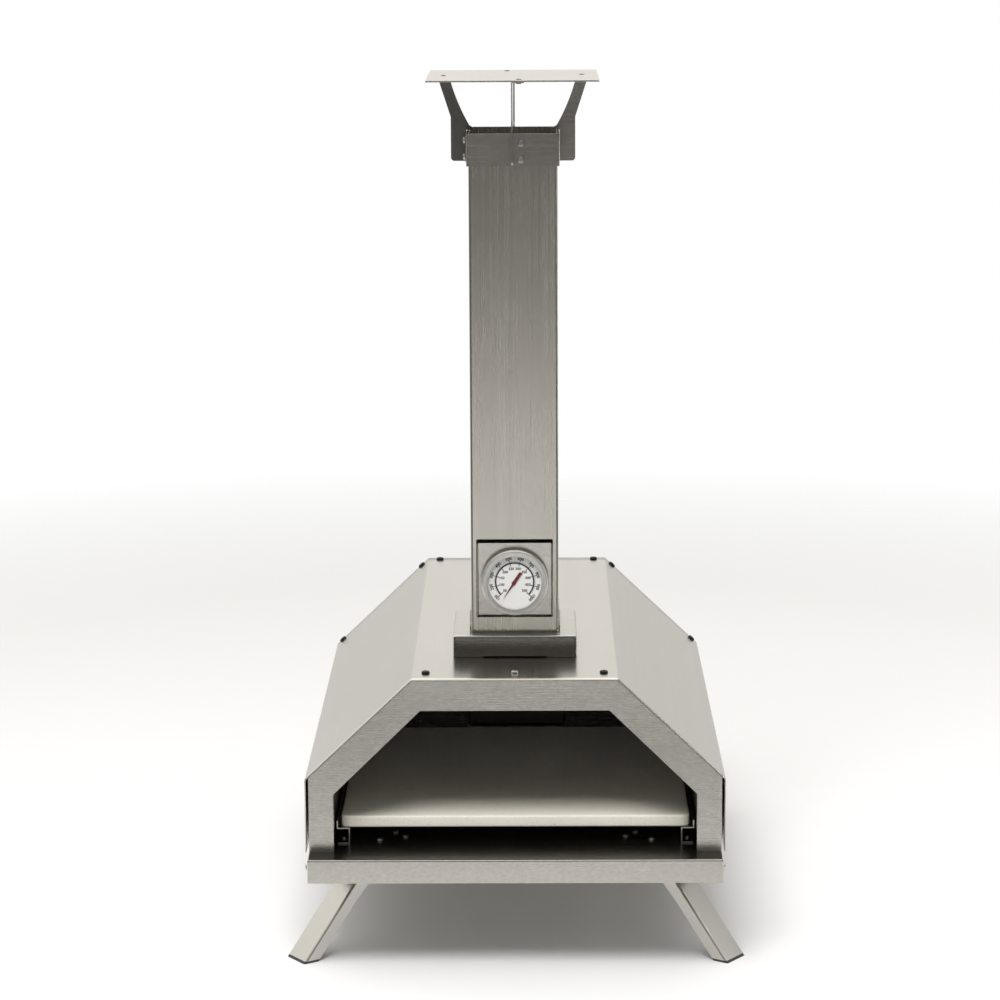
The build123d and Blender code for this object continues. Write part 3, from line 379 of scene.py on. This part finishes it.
# %% Clear glass
def clear_glass():
    """Almost transparent, with a reflection and a little haze."""
    material, start, shader = new_finish("lens_glass")
    haze = noise(stretched(start, (60.0, 60.0, 60.0)), 1.0, 2.0, 0.5)
    feed(shader, "Base Color", (0.01, 0.01, 0.01, 1.0))
    feed(shader, "Roughness", haze * 0.05)
    feed(shader, "Alpha", 0.06)
    feed(shader, "IOR", 1.5)
    return material


GLASS = clear_glass()
print("glass lets through", 1 - GLASS.node_tree.nodes["Principled BSDF"].inputs["Alpha"].default_value)

# %% [markdown]
# ## Which part has which finish
#
# A CAD part of the right shape stays as it is and only gets its finish, through its
# material slots. A table says which. Nearly all screws, pins and nuts are zinc plated,
# so a small rule covers what the table leaves out.

# %% Give every CAD part its finish
FINISH = {
    "base_tray": TRAY_STEEL, "front_panel": PANEL_STEEL, "rear_panel": REAR_STEEL,
    "outer_shell": STEEL_Y, "inner_liner": LINER_STEEL, "insulation_boards": BOARD,
    "stone_rail_left": STEEL_Y, "stone_rail_right": STEEL_Y, "baking_stone": STONE,
    "cover_screws": BLACK_OXIDE, "chimney_collar": COLLAR_STEEL, "flue_duct": DARK_STEEL,
    "chimney_tube": STEEL_Z, "gauge_plate": STEEL_X, "gauge_case": STEEL_X,
    "gauge_bezel": SPUN_STEEL, "gauge_lens": GLASS, "gauge_dial": ENAMEL,
    "gauge_needle": LACQUER, "gauge_stem": POLISHED, "cap_band": STEEL_X,
    # The left bracket takes the steel with painted shade.
    "cap_bracket_front": STEEL_X, "cap_bracket_rear": STEEL_X, "cap_bracket_left": SHADED_BRACKET_STEEL,
    "cap_bracket_right": STEEL_X, "cap_plate": LIT_CAP_STEEL, "burner_housing": STEEL_Y,
    "hopper_body": STEEL_X, "hopper_lid": STEEL_X, "hopper_lid_handle": STEEL_X,
    "fuel_tray": DARK_STEEL, "fuel_grate": DARK_STEEL, "tray_face": STEEL_X,
    "tray_handle": POLISHED,
}
ZINC_STARTS = ("leg_bracket_screws", "leg_pin")


def finish_of(node):
    """The finish of a CAD part; what no table or rule names is zinc plated."""
    if node in FINISH:
        return FINISH[node]
    if node.startswith("leg_foot"):
        return SHOE
    if node.startswith("leg_") and not node.startswith(ZINC_STARTS):
        return LEG_STEEL
    return ZINC


for node_name, node in NODES.items():
    for material_slot in node.material_slots:
        material_slot.material = finish_of(node_name)
print("finished", len(NODES), "CAD parts")

# %% [markdown]
# ## Surfaces from arrays
#
# New pieces are surfaces over a grid: a formula gives every point at once, and one
# face joins each four neighbours. A seam closes when the last column meets the first.


# %% Mesh over a grid
def surface(name, grid, close_rows=False, close_columns=False):
    """Mesh over a grid of points, one four-sided face to a cell. Its front side is where
    a step along the columns crossed with a step along the rows points."""
    rows, columns = grid.shape[:2]
    index = np.arange(rows * columns).reshape(rows, columns)
    if close_rows:
        index = np.vstack([index, index[:1]])
    if close_columns:
        index = np.hstack([index, index[:, :1]])
    quads = np.stack([index[:-1, :-1], index[:-1, 1:], index[1:, 1:], index[1:, :-1]], -1)
    mesh = bpy.data.meshes.new(name)
    mesh.from_pydata(grid.reshape(-1, 3).tolist(), [], quads.reshape(-1, 4).tolist())
    mesh.polygons.foreach_set("use_smooth", [True] * len(mesh.polygons))
    piece = bpy.data.objects.new(name, mesh)
    scene.collection.objects.link(piece)
    return piece


print("surface ready:", surface.__doc__.split(",")[0])

# %% [markdown]
# ## Closed poles, outward faces
#
# A turned surface ends in a ring too small to see. Merging each such ring to one point
# closes the pole, and only then can Blender tell inside from outside.

# %% Seal a surface
POLE_REACH = 2.5e-5


def sealed(piece):
    """Merge points that share a place, drop loose edges, then point every face outwards."""
    work = bmesh.new()
    work.from_mesh(piece.data)
    bmesh.ops.remove_doubles(work, verts=work.verts, dist=POLE_REACH)
    loose = [edge for edge in work.edges if not edge.link_faces]
    bmesh.ops.delete(work, geom=loose, context="EDGES")
    bmesh.ops.recalc_face_normals(work, faces=work.faces)
    work.to_mesh(piece.data)
    work.free()
    print(piece.name, len(piece.data.polygons), "faces, sealed")
    return piece


print("points closer than", POLE_REACH, "m become one")

# %% [markdown]
# ## Standing in for a CAD part
#
# A finished piece that takes the place of a CAD part has to move with the same body and
# keep the same material slot, and the CAD part is hidden. The record knows both.

# %% Take a CAD part's place
BODY_OF = {node: body for body, nodes in frame["record"]["behaviour"]["bodies"].items()
           for node in nodes}


def ride_in_place(piece, node):
    """The piece stands for a CAD part: same body, slot and finish."""
    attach(piece, BODY_OF[node])
    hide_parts(node)
    piece.data.materials.clear()
    piece.data.materials.append(finish_of(node))


# %% [markdown]
# ## Softened sheet edges
#
# A sheared or folded sheet never has a knife edge: the tool leaves a small round that
# catches the light as a thin bright line. It could be modelled in CAD, at a cost in
# every check. A bevel on a merged copy of the mesh gives the same line, and the copy
# then stands for the CAD part. Flat faces are joined first, so that nothing but true
# edges gets the round.

# %% Round the edges of a sheet
SHEET_ROUND = 0.00045
FOLD_ROUND = 0.0009


def softened(node, width, segments=2):
    """A copy of a CAD sheet, its flat faces joined and its edges rounded by width metres."""
    mesh = NODES[node].data.copy()
    mesh.name = node + "_soft"
    work = bmesh.new()
    work.from_mesh(mesh)
    bmesh.ops.remove_doubles(work, verts=work.verts, dist=1e-6)
    bmesh.ops.dissolve_limit(work, angle_limit=radians(0.5), verts=work.verts, edges=work.edges)
    bmesh.ops.recalc_face_normals(work, faces=work.faces)
    work.to_mesh(mesh)
    work.free()
    mesh.polygons.foreach_set("use_smooth", [False] * len(mesh.polygons))
    piece = bpy.data.objects.new(node + "_soft", mesh)
    scene.collection.objects.link(piece)
    bevel = piece.modifiers.new("edge_round", "BEVEL")
    bevel.width, bevel.segments = width, segments
    bevel.limit_method, bevel.angle_limit = "ANGLE", radians(40)
    ride_in_place(piece, node)
    return piece


for sheet_node in ("gauge_plate", "cap_plate", "cap_bracket_front", "cap_bracket_rear",
                   "cap_bracket_left", "cap_bracket_right", "hopper_lid", "tray_face",
                   "stone_rail_left", "stone_rail_right"):
    softened(sheet_node, SHEET_ROUND)
panel = softened("front_panel", FOLD_ROUND, segments=3)
print("softened sheets; the front panel has", len(panel.data.polygons), "flat faces")

# %% [markdown]
# ## A round bend
#
# Sheet folds over a rounded tool, so a bend is an arc that touches both flat sides. Two
# lines and a radius settle it: the arc's centre lies on the bisector of the corner.


# %% Arc in a corner
def rounded_corner(before, corner, after, radius, steps=6):
    """Arc that touches both lines of a corner: centre on the bisector, turned by angle."""
    one = (before - corner) / np.linalg.norm(before - corner)
    two = (after - corner) / np.linalg.norm(after - corner)
    half = np.arccos(np.dot(one, two)) / 2
    reach = radius / np.tan(half)
    centre = corner + (one + two) / np.linalg.norm(one + two) * radius / np.sin(half)
    start, stop = corner + one * reach - centre, corner + two * reach - centre
    share = np.linspace(0.0, 1.0, steps)[:, None]
    swing = np.pi - 2 * half
    return centre + (np.sin((1 - share) * swing) * start + np.sin(share * swing) * stop) / np.sin(swing)


print("arc over a square corner:", rounded_corner(np.array([1.0, 0.0]), np.zeros(2),
                                                  np.array([0.0, 1.0]), 0.1, 3).round(3).tolist())

# %% [markdown]
# ## The shell's section
#
# The outer shell is one sheet bent four times over the body: a short upright side, a
# long slope, the flat roof, and down again. The section is straight lines with an arc
# at each bend, filled with points close enough together to bow later.

# %% Section of the shell
BEND_RADIUS = 0.003
SHELL_SPACING = 0.0145
SHOULDER_Z = 0.184
SLOPE_RUN = 104.0 / 98.8   # sideways for each unit of rise on the sloping faces
shell_low, shell_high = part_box("outer_shell")


def even_fill(pieces, spacing):
    """Join the pieces of a section with points no further apart than the spacing."""
    points = [pieces[0]]
    for before, after in zip(pieces[:-1], pieces[1:]):
        gap = after[0] - before[-1]
        count = int(np.ceil(np.linalg.norm(gap) / spacing))
        share = np.linspace(0.0, 1.0, count + 1)[1:-1, None]
        points += [before[-1] + gap * share, after]
    return np.vstack(points)


def shell_section():
    """Left foot, side, shoulder, slope, roof and the same down the right side."""
    side, top = shell_high.x, shell_high.z
    roof_edge = side - (top - SHOULDER_Z) * SLOPE_RUN
    left = np.array([(-side, shell_low.z), (-side, SHOULDER_Z), (-roof_edge, top)])
    corners = np.vstack([left, (left * [-1, 1])[::-1]])
    bends = [rounded_corner(*corners[i - 1:i + 2], BEND_RADIUS) for i in range(1, 5)]
    return even_fill([corners[:1], *bends, corners[-1:]], SHELL_SPACING)


print("shell section has", len(shell_section()), "points")

# %% [markdown]
# ## A gentle relief
#
# Nothing made of sheet or clay is quite even. A sum of slow waves in many directions
# gives hills without any pattern, and a seed keeps them the same every time.


# %% Slow hills
def slow_hills(x, y, seed, count=24, size=0.05):
    """Sum of cosine waves in seeded directions: a gentle relief between about -1 and 1."""
    chance = np.random.default_rng(seed)
    turn = chance.uniform(0, np.pi, count)
    step = chance.uniform(0.5, 2.0, count) * 2 * np.pi / size
    start = chance.uniform(0, 2 * np.pi, count)
    phase = (x[..., None] * np.cos(turn) + y[..., None] * np.sin(turn)) * step + start
    return np.cos(phase).sum(-1) / count * 2.2


print("hills over one metre:", slow_hills(np.linspace(0, 1, 5), np.zeros(5), 8).round(2))

# %% [markdown]
# ## The shell's faces
#
# Thin sheet held at its edges never stays flat: the faces bow inwards by about half a
# millimetre, which bends the reflections. The section is swept from front to back, and
# each face sinks by a cosine across it and a sine along it.

# %% Sweep the section
flue_low, flue_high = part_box("flue_duct")
ROOF_HALF = 0.095          # the bow dies out this far from the middle of the roof


def folded_shell():
    """Section swept along Y; a cosine bow across each face and along the length."""
    section = shell_section()
    steps = np.concatenate([np.linspace(shell_low.y, flue_low.y, 14),
                            np.linspace(flue_low.y, flue_high.y, 8),
                            np.linspace(flue_high.y, shell_high.y, 26)])
    y = np.unique(steps.round(6))
    grid = np.empty((len(y), len(section), 3))
    grid[..., 0], grid[..., 1], grid[..., 2] = section[:, 0], y[:, None], section[:, 1]
    x, height = grid[..., 0].copy(), grid[..., 2].copy()
    along = np.sin(np.pi * (y - y[0]) / (y[-1] - y[0]))[:, None] ** 0.6
    ripple = slow_hills(grid[..., 1], x + height, 8, size=0.26)
    roof = shell_high.z - height < 1e-5
    across = np.cos(np.pi / 2 * np.clip(x / ROOF_HALF, -1, 1))
    grid[..., 2] -= roof * across * along * (0.0004 + 0.00018 * ripple)
    slope = (height > SHOULDER_Z + 0.004) & ~roof
    rise = np.clip((height - SHOULDER_Z) / (shell_high.z - SHOULDER_Z), 0, 1)
    sink = np.sin(np.pi * rise) * along * (0.0005 + 0.0002 * ripple) * slope * 0.7
    grid[..., 0] -= np.sign(x) * sink
    grid[..., 2] -= sink
    return grid


shell_grid = folded_shell()
print("shell grid", shell_grid.shape[:2])

# %% [markdown]
# ## The hole for the flue
#
# The chimney's duct comes up through the roof. The rows of the grid were laid so that
# some run along the duct's edges, so leaving out the cells over it makes a clean hole.
# A Solidify modifier then gives the sheet its thickness, inwards.

# %% Open the flue and thicken the sheet
SHELL_SHEET = 0.001


def over_flue(grid):
    """True for each cell whose middle lies over the duct."""
    middle = (grid[:-1, :-1] + grid[1:, 1:]) / 2
    return ((np.abs(middle[..., 0]) < flue_high.x) & (middle[..., 1] > flue_low.y)
            & (middle[..., 1] < flue_high.y) & (middle[..., 2] > SHOULDER_Z + 0.09)).ravel()


def drop_cells(piece, dropped):
    """Remove the marked faces and the points that nothing uses any more."""
    work = bmesh.new()
    work.from_mesh(piece.data)
    work.faces.ensure_lookup_table()
    bmesh.ops.delete(work, geom=[work.faces[i] for i in np.flatnonzero(dropped)], context="FACES")
    work.to_mesh(piece.data)
    work.free()


shell = surface("outer_shell_folded", shell_grid)
drop_cells(shell, over_flue(shell_grid))
thick = shell.modifiers.new("sheet", "SOLIDIFY")
thick.thickness, thick.offset = SHELL_SHEET, -1.0
ride_in_place(shell, "outer_shell")
print("shell", len(shell.data.polygons), "faces,", int(over_flue(shell_grid).sum()), "left out")

# %% [markdown]
# ## Baking stone
#
# The stone is pressed clay, fired and then ground a little flat. Its top is not quite
# level and the mould rounds its edge. A bevelled box would be too even, so the slab is
# one closed surface: rings of a rounded square run from the middle of the top, over
# the edge, to the middle of the underside.

# %% Rounded square rings
STONE_CORNER = 0.007
STONE_EDGE = 0.0018
RING_POINTS = 240


def rounded_square(half, corner):
    """Loops of squares with round corners, points evenly by angle: the direction's ray
    meets either a straight side or the corner's circle."""
    turn = np.linspace(0.0, 2 * np.pi, RING_POINTS, endpoint=False)
    ray = np.stack([np.cos(turn), np.sin(turn)], -1)
    half, corner = half[:, None, None], corner[:, None, None]
    flat = ray / np.abs(ray).max(-1, keepdims=True) * half
    centre = np.sign(ray) * (half - corner)
    along = (ray * centre).sum(-1, keepdims=True)
    inside = np.maximum(along ** 2 - (centre ** 2).sum(-1, keepdims=True) + corner ** 2, 0.0)
    in_corner = (np.abs(flat) > half - corner).all(-1, keepdims=True)
    return np.where(in_corner, ray * (along + np.sqrt(inside)), flat)


print("a loop spans", rounded_square(np.array([0.17]), np.array([STONE_CORNER])).max().round(4), "m")

# %% [markdown]
# ## The stone's faces
#
# The rings differ only in how far they lie inside the outline and how high. The top
# then sinks a little in slow hills, and the rim wears back unevenly.


# %% Build the stone
def stone_slab():
    """Rings inset from the outline by d at height z; the edge is a quarter ellipse."""
    low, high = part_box("baking_stone")
    half, pole = (high.x - low.x) / 2, 1e-5
    middle = np.array([(low.x + high.x) / 2, (low.y + high.y) / 2])
    turn = np.linspace(0.0, np.pi / 2, 7)
    top = [(d, high.z) for d in np.linspace(half - pole, STONE_EDGE, 60)[:-1]]
    upper = [(STONE_EDGE * (1 - np.sin(t)), high.z - STONE_EDGE * (1 - np.cos(t))) for t in turn]
    lower = [(STONE_EDGE * (1 - np.cos(t)), low.z + STONE_EDGE * (1 - np.sin(t))) for t in turn]
    inset, z = np.array(top + upper + lower + [(d, low.z) for d in (0.01, 0.06, half - pole)]).T
    corner = np.minimum(np.maximum(STONE_CORNER - inset, 0.0008), (half - inset) * 0.9)
    loops = rounded_square(half - inset, corner)
    x, y = (loops + middle)[..., 0], (loops + middle)[..., 1]
    rim = np.clip(inset / 0.02, 0.0, 1.0)[:, None]
    relief = slow_hills(x, y, 3) * 0.00012 + slow_hills(x, y, 4, size=0.012) * 0.00005
    upper_half = z[:, None] > (low.z + high.z) / 2
    height = z[:, None] - (0.00018 + relief) * upper_half * (0.3 + 0.7 * rim)
    wear = 0.0004 + slow_hills(x, y, 5, size=0.03) * 0.00018 * (1 - rim)
    radius = np.linalg.norm(loops, axis=-1)
    shrink = 1 - wear * np.clip(radius / 0.02, 0.0, 1.0) / radius
    place = loops * shrink[..., None] + middle
    return np.dstack([place, height])


stone = sealed(surface("baking_stone_fired", stone_slab(), close_columns=True))
ride_in_place(stone, "baking_stone")
print("stone", len(stone.data.vertices), "points")

# %% [markdown]
# ## Weld seam
#
# The chimney is a sheet folded to a square and welded up the middle of its back. A
# hand-held torch lays the bead in small overlapping scales. A row of hundreds of small
# scales would do, but one half round whose size swells and shrinks along its length
# needs a single formula.

# %% Bead up the back of the chimney
BEAD_RADIUS = 0.0013
BEAD_PITCH = 0.0021        # from one scale to the next


def weld_bead(bottom, top):
    """Half round swept straight up; radius pulses with the pitch, as overlapping scales."""
    along = np.linspace(0.0, 1.0, 900)[:, None]
    around = np.linspace(0.0, np.pi, 9)[None, :]
    height = (top - bottom).length * along
    scale = 0.72 + 0.28 * np.abs(np.sin(np.pi * height / BEAD_PITCH))
    size = BEAD_RADIUS * scale * np.clip(np.minimum(along, 1 - along) * 60, 0.0, 1.0)
    drift = 0.0002 * np.sin(height * 47.0) + 0.00012 * np.sin(height * 131.0)
    x = bottom.x + drift + size * np.cos(around) * 1.6
    y = bottom.y - 0.0001 + size * np.sin(around) * 0.6
    z = bottom.z + height - 0.25 * BEAD_PITCH * np.sin(around) * np.ones_like(size)
    return np.stack([x, y, z], -1)


tube_low, tube_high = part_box("chimney_tube")
seam_low = Vector((0.0, tube_high.y, tube_low.z + 0.004))
seam_high = Vector((0.0, tube_high.y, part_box("cap_band")[0].z - 0.002))
seam = sealed(surface("chimney_seam", weld_bead(seam_low, seam_high), close_columns=True))
seam.data.materials.append(POLISHED)
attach(seam, BODY_OF["chimney_tube"])
print("seam", round(seam_high.z - seam_low.z, 3), "m long")

# %% [markdown]
# ## Turned parts of the thermometer
#
# The bezel is a ring spun from sheet over the glass. A spun ring is a profile turned
# about an axis, so its surface has two parameters: the place on the profile and the
# angle. The same helper then makes the domed glass.

# %% Turn a profile about the dial's axis
bezel_low, bezel_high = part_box("gauge_bezel")
DIAL_X = (bezel_low.x + bezel_high.x) / 2
DIAL_Z = (bezel_low.z + bezel_high.z) / 2


def turned_about_dial(profile, steps=128):
    """Spin (radius, y) points about the thermometer's axis, which lies along Y."""
    radius, y = np.array(profile).T
    turn = np.linspace(0.0, 2 * np.pi, steps, endpoint=False)
    x = DIAL_X + radius[:, None] * np.cos(turn)
    z = DIAL_Z + radius[:, None] * np.sin(turn)
    return np.stack([x, np.broadcast_to(y[:, None], x.shape), z], -1)


print("dial axis at", round(DIAL_X, 4), round(DIAL_Z, 4))

# %% [markdown]
# ## Bezel
#
# Its profile starts at the wall, rolls over the front, slopes in towards the glass and
# ends in a small lip. The two rolls are quarter circles.

# %% Spin the bezel
BEZEL_HOLE = 0.0264        # radius of the window
BEZEL_WALL = 0.0011
BEZEL_ROLL, LIP_ROLL = 0.0022, 0.0009
LIP_STEP = 0.0021          # the lip's depth behind the front


def bezel_profile():
    """Wall, rolled front, flat slope towards the glass and a rolled inner lip."""
    outer = (bezel_high.x - bezel_low.x) / 2
    front, back = bezel_low.y, bezel_high.y
    turn = np.linspace(0.0, np.pi / 2, 9)
    roll = [(outer - BEZEL_ROLL * (1 - np.cos(t)), front + BEZEL_ROLL * (1 - np.sin(t))) for t in turn]
    lip = [(BEZEL_HOLE + LIP_ROLL * (1 - np.sin(t)), front + 0.0005 + LIP_ROLL * (1 - np.cos(t)))
           for t in turn]
    inside = [(BEZEL_HOLE, front + LIP_STEP), (outer - BEZEL_WALL, front + LIP_STEP),
              (outer - BEZEL_WALL, back)]
    return [(outer, back)] + roll + [(outer - 0.0038, front + 0.0001)] + lip + inside


bezel = sealed(surface("gauge_bezel_spun", turned_about_dial(bezel_profile()), close_rows=True,
                       close_columns=True))
ride_in_place(bezel, "gauge_bezel")
print("bezel", round((bezel_high.x - bezel_low.x) * 1000, 1), "mm across")

# %% [markdown]
# ## Domed glass
#
# A pressed window bulges by about a millimetre, which moves its reflection off the
# middle. Both sides follow one parabola, so the glass is equally thick everywhere.

# %% Turn the glass
LENS_BULGE = 0.0012
LENS_GAP = 0.0001          # clear of its seat


def lens_profile():
    """Front from rim to middle, then back from middle to rim; y falls as 1 - r squared."""
    low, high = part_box("gauge_lens")
    rim = (high.x - low.x) / 2
    radius = np.linspace(rim, 1e-5, 16)
    dome = LENS_BULGE * (1 - (radius / rim) ** 2)
    front = np.stack([radius, low.y + LENS_GAP - dome], -1)
    back = np.stack([radius, high.y - LENS_GAP - dome], -1)[::-1]
    return np.vstack([front, back])


lens = sealed(surface("gauge_glass", turned_about_dial(lens_profile()), close_rows=True,
                      close_columns=True))
ride_in_place(lens, "gauge_lens")
print("glass bulges", LENS_BULGE * 1000, "mm")

# %% [markdown]
# ## Dial printing
#
# The scale is screen printed: an arc, long and short ticks, an inner ring of numbers
# and a larger outer one. It could be a texture, but print made of geometry stays sharp
# however close the viewer comes. It lies just in front of the enamel.

# %% Places on the dial
SCALE_START, SCALE_SWEEP = radians(223), radians(266)
PRINT_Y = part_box("gauge_dial")[0].y - 0.00006


def on_dial(radius, angle):
    """Point on the print at a radius and an angle, counter-clockwise from the right."""
    x, z = DIAL_X + radius * np.cos(angle), DIAL_Z + radius * np.sin(angle)
    return np.stack([x, np.full_like(x, PRINT_Y), z], -1)


def printed(piece):
    """Ink on the dial."""
    piece.data.materials.append(INK)
    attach(piece, BODY_OF["gauge_dial"])
    print(piece.name, len(piece.data.polygons), "faces")


def flat_print(name, points, faces):
    """A printed mesh from points and faces."""
    mesh = bpy.data.meshes.new(name)
    mesh.from_pydata(points.tolist(), [], faces)
    piece = bpy.data.objects.new(name, mesh)
    scene.collection.objects.link(piece)
    printed(piece)


print("scale runs from", round(SCALE_START, 3), "through", round(SCALE_SWEEP, 3), "radians")

# %% [markdown]
# ## Ticks and arc
#
# Every tick is the same little bar at its own angle, so one array holds them all. The
# arc is a grid of two rows.

# %% Print the ticks and the arc
SHORT_STEPS = 45           # short steps on the scale
STEPS_TO_LONG = 5
ARC_RADIUS, ARC_HALF = 0.0188, 0.0007


def bars(angle, inner, outer, width):
    """One four-sided bar along the radius at each angle."""
    half = width / 2
    ends = ((inner, half), (inner, -half), (outer, -half), (outer, half))
    return np.stack([on_dial(radius, angle + side / radius) for radius, side in ends], 1)


step_angle = SCALE_START - SCALE_SWEEP * np.linspace(0.0, 1.0, SHORT_STEPS + 1)
tick_bars = np.vstack([bars(step_angle[::STEPS_TO_LONG], 0.0158, 0.0222, 0.0008),
                       bars(step_angle, 0.0176, 0.0208, 0.00045)])
flat_print("dial_ticks", tick_bars.reshape(-1, 3),
           np.arange(tick_bars.size // 3).reshape(-1, 4).tolist())
fine_angle = SCALE_START - SCALE_SWEEP * np.linspace(-0.004, 1.004, 120)
printed(surface("dial_arc", np.stack([on_dial(np.full_like(fine_angle, ARC_RADIUS + side), fine_angle)
                                      for side in (-ARC_HALF, ARC_HALF)])))

# %% [markdown]
# ## Numbers
#
# Blender's own text makes the figures. Each is turned into a flat mesh first, and only
# then moved to its place, so that the finished piece keeps its origin at the world's.


# %% Print the numbers
def figure(label, height):
    """Flat mesh of one number: its points in the plane and its faces."""
    text = bpy.data.curves.new("number", "FONT")
    text.body, text.size = str(label), height
    text.align_x = text.align_y = "CENTER"
    text.resolution_u, text.offset = 2, height * 0.035
    writer = bpy.data.objects.new("number", text)
    flat = bpy.data.meshes.new_from_object(writer)
    points = np.empty(len(flat.vertices) * 3)
    flat.vertices.foreach_get("co", points)
    bpy.data.objects.remove(writer)
    return points.reshape(-1, 3)[:, :2], [list(face.vertices) for face in flat.polygons]


def number_ring(name, labels, radius, height, upright):
    """Numbers set along the scale, upright or standing on the arc, as one mesh."""
    points, faces, used = [], [], 0
    for label, angle in zip(labels, SCALE_START - SCALE_SWEEP * np.linspace(0, 1, len(labels))):
        shape, cells = figure(label, height)
        turn = 0.0 if upright else angle - np.pi / 2
        across = shape @ np.array([[np.cos(turn), np.sin(turn)], [-np.sin(turn), np.cos(turn)]])
        place = np.column_stack([across[:, 0], np.zeros(len(across)), across[:, 1]])
        points.append(place + on_dial(np.array([radius]), np.array([angle])))
        faces += [[used + v for v in cell] for cell in cells]
        used += len(shape)
    flat_print(name, np.vstack(points), faces)


number_ring("dial_numbers_inner", range(50, 550, 50), 0.0133, 0.0036, upright=True)
number_ring("dial_numbers_outer", range(100, 1100, 100), 0.0233, 0.0042, upright=False)

# %% [markdown]
# ## Studio floor
#
# The oven stands on pale paper, and a second sheet lies in front of it for the steel to
# mirror. Both are discs whose rim fades out, so that no edge shows in the picture or in
# the reflections, and the fade between them darkens the upright faces as they rise.

# %% Paper underneath and in front
FLOOR_ALBEDO = 0.73


def paper_finish(name, centre, reach, fade):
    """White, dull, and fading out between two shares of the reach."""
    finish, start, shader = new_finish(name)
    place = on_object(start)
    unit = start.add("Mapping", {"vector_type": "TEXTURE"},
                     {"Vector": place, "Location": (*centre, 0.0), "Scale": (*reach, 1.0)})
    away = start.add("VectorMath", {"operation": "LENGTH"}, {0: unit}, 1)
    feed(shader, "Base Color", mix(noise(place, 30.0), grey(FLOOR_ALBEDO - 0.01), grey(FLOOR_ALBEDO)))
    feed(shader, "Alpha", 1.0 - away.between(*fade))
    feed(shader, "Roughness", 1.0)
    feed(shader, "Specular IOR Level", 0.0)
    return finish


def paper_sheet(name, centre, reach, fade):
    """Flat disc: rings of growing radius, stretched to reach in x and y."""
    radius = np.linspace(0.0, 1.0, 24)[:, None]
    turn = np.linspace(2 * np.pi, 0.0, 96, endpoint=False)[None, :]
    x = radius * np.cos(turn) * reach[0] + centre[0]
    y = radius * np.sin(turn) * reach[1] + centre[1]
    sheet = surface(name, np.stack([x, y, np.zeros_like(x)], -1), close_columns=True)
    sheet.data.materials.append(paper_finish(name, centre, reach, fade))
    print(name, "reaches", reach)


paper_sheet("studio_floor", (0.0, 0.5), (1.9, 1.9), (0.5, 0.98))
paper_sheet("studio_front_card", (0.0, -2.6), (1.6, 1.3), (0.45, 1.0))

# %% [markdown]
# ## Painted sky
#
# Steel shows its surroundings more than its own colour. So the studio is mostly a
# painted sky: a white ceiling, a bright wall behind, a bright left side, and a dim
# room behind the camera. Whatever looks straight past the oven sees plain white.

# %% Sky
ROOM_TONE = 0.13
CEILING, BACK_WALL, SIDE_WALL = 1.2, 0.7, 0.55
SKY_TINT = (1.0, 0.985, 0.955, 1.0)


def studio_sky():
    """Brightness by direction: across, back and up are the parts of the view's direction."""
    world = bpy.data.worlds.new("studio_sky")
    world.use_nodes = True
    start = Pattern(world.node_tree)
    across = start.add("SeparateXYZ", {}, {0: start.add("TexCoord", output=0)})
    back, up = across.part(1), across.part(2)
    wall = back.between(0.1, 0.7) * (up.between(0.0, 0.35) * 0.4 + 0.8)
    dim_right = 1.0 - across.between(0.3, 0.8) * 0.75
    left = (across * -1.0).between(0.3, 0.8) * back.between(-0.4, 0.3) * up.between(-0.2, 0.4)
    tone = ((wall * BACK_WALL + up.between(0.45, 0.9) * CEILING) * dim_right
            + left * SIDE_WALL + ROOM_TONE)
    white = start.add("CombineColor", {}, {0: tone, 1: tone, 2: tone})
    painted = start.add("Mix", {"data_type": "RGBA", "blend_type": "MULTIPLY"},
                        {0: 1.0, 6: white, 7: SKY_TINT}, 2)
    seen = mix(start.add("LightPath"), painted, (1.0, 1.0, 1.0, 1.0))
    world.node_tree.links.new(seen.output, world.node_tree.nodes["Background"].inputs["Color"])
    return world


scene.view_settings.view_transform = "Standard"
scene.world = studio_sky()
print("sky has", len(scene.world.node_tree.nodes), "nodes")

# %% [markdown]
# ## Lamps
#
# A large softbox above and in front is the key. A low one fills the mouth, so that the
# stone can be seen to its end, and a narrow strip draws a line along the right edges.
# The first two are kept out of reflections: mirrored in the flat steel they would show
# as hard bright shapes.


# %% Softboxes
def softbox(name, place, target, size, power, mirrored=True):
    """A rectangular lamp that looks at a target; the steel may be kept from mirroring it."""
    lamp_data = bpy.data.lights.new(name, "AREA")
    lamp_data.shape = "RECTANGLE"
    lamp_data.size, lamp_data.size_y = size
    lamp_data.energy = power
    lamp = bpy.data.objects.new(name, lamp_data)
    lamp.location = place
    lamp.visible_glossy = mirrored
    lamp.rotation_euler = (Vector(target) - Vector(place)).to_track_quat("-Z", "Y").to_euler()
    scene.collection.objects.link(lamp)
    print(name, power, "W")


softbox("key_softbox", (-0.3, -1.5, 2.4), (0.0, -0.2, 0.2), (1.2, 1.0), 52.0, mirrored=False)
softbox("low_fill", (0.0, -2.7, 0.5), (0.0, 0.0, 0.12), (1.4, 0.5), 12.0, mirrored=False)
softbox("right_strip", (2.4, 0.2, 0.9), (0.0, -0.1, 0.5), (0.35, 1.6), 9.0)

# %% [markdown]
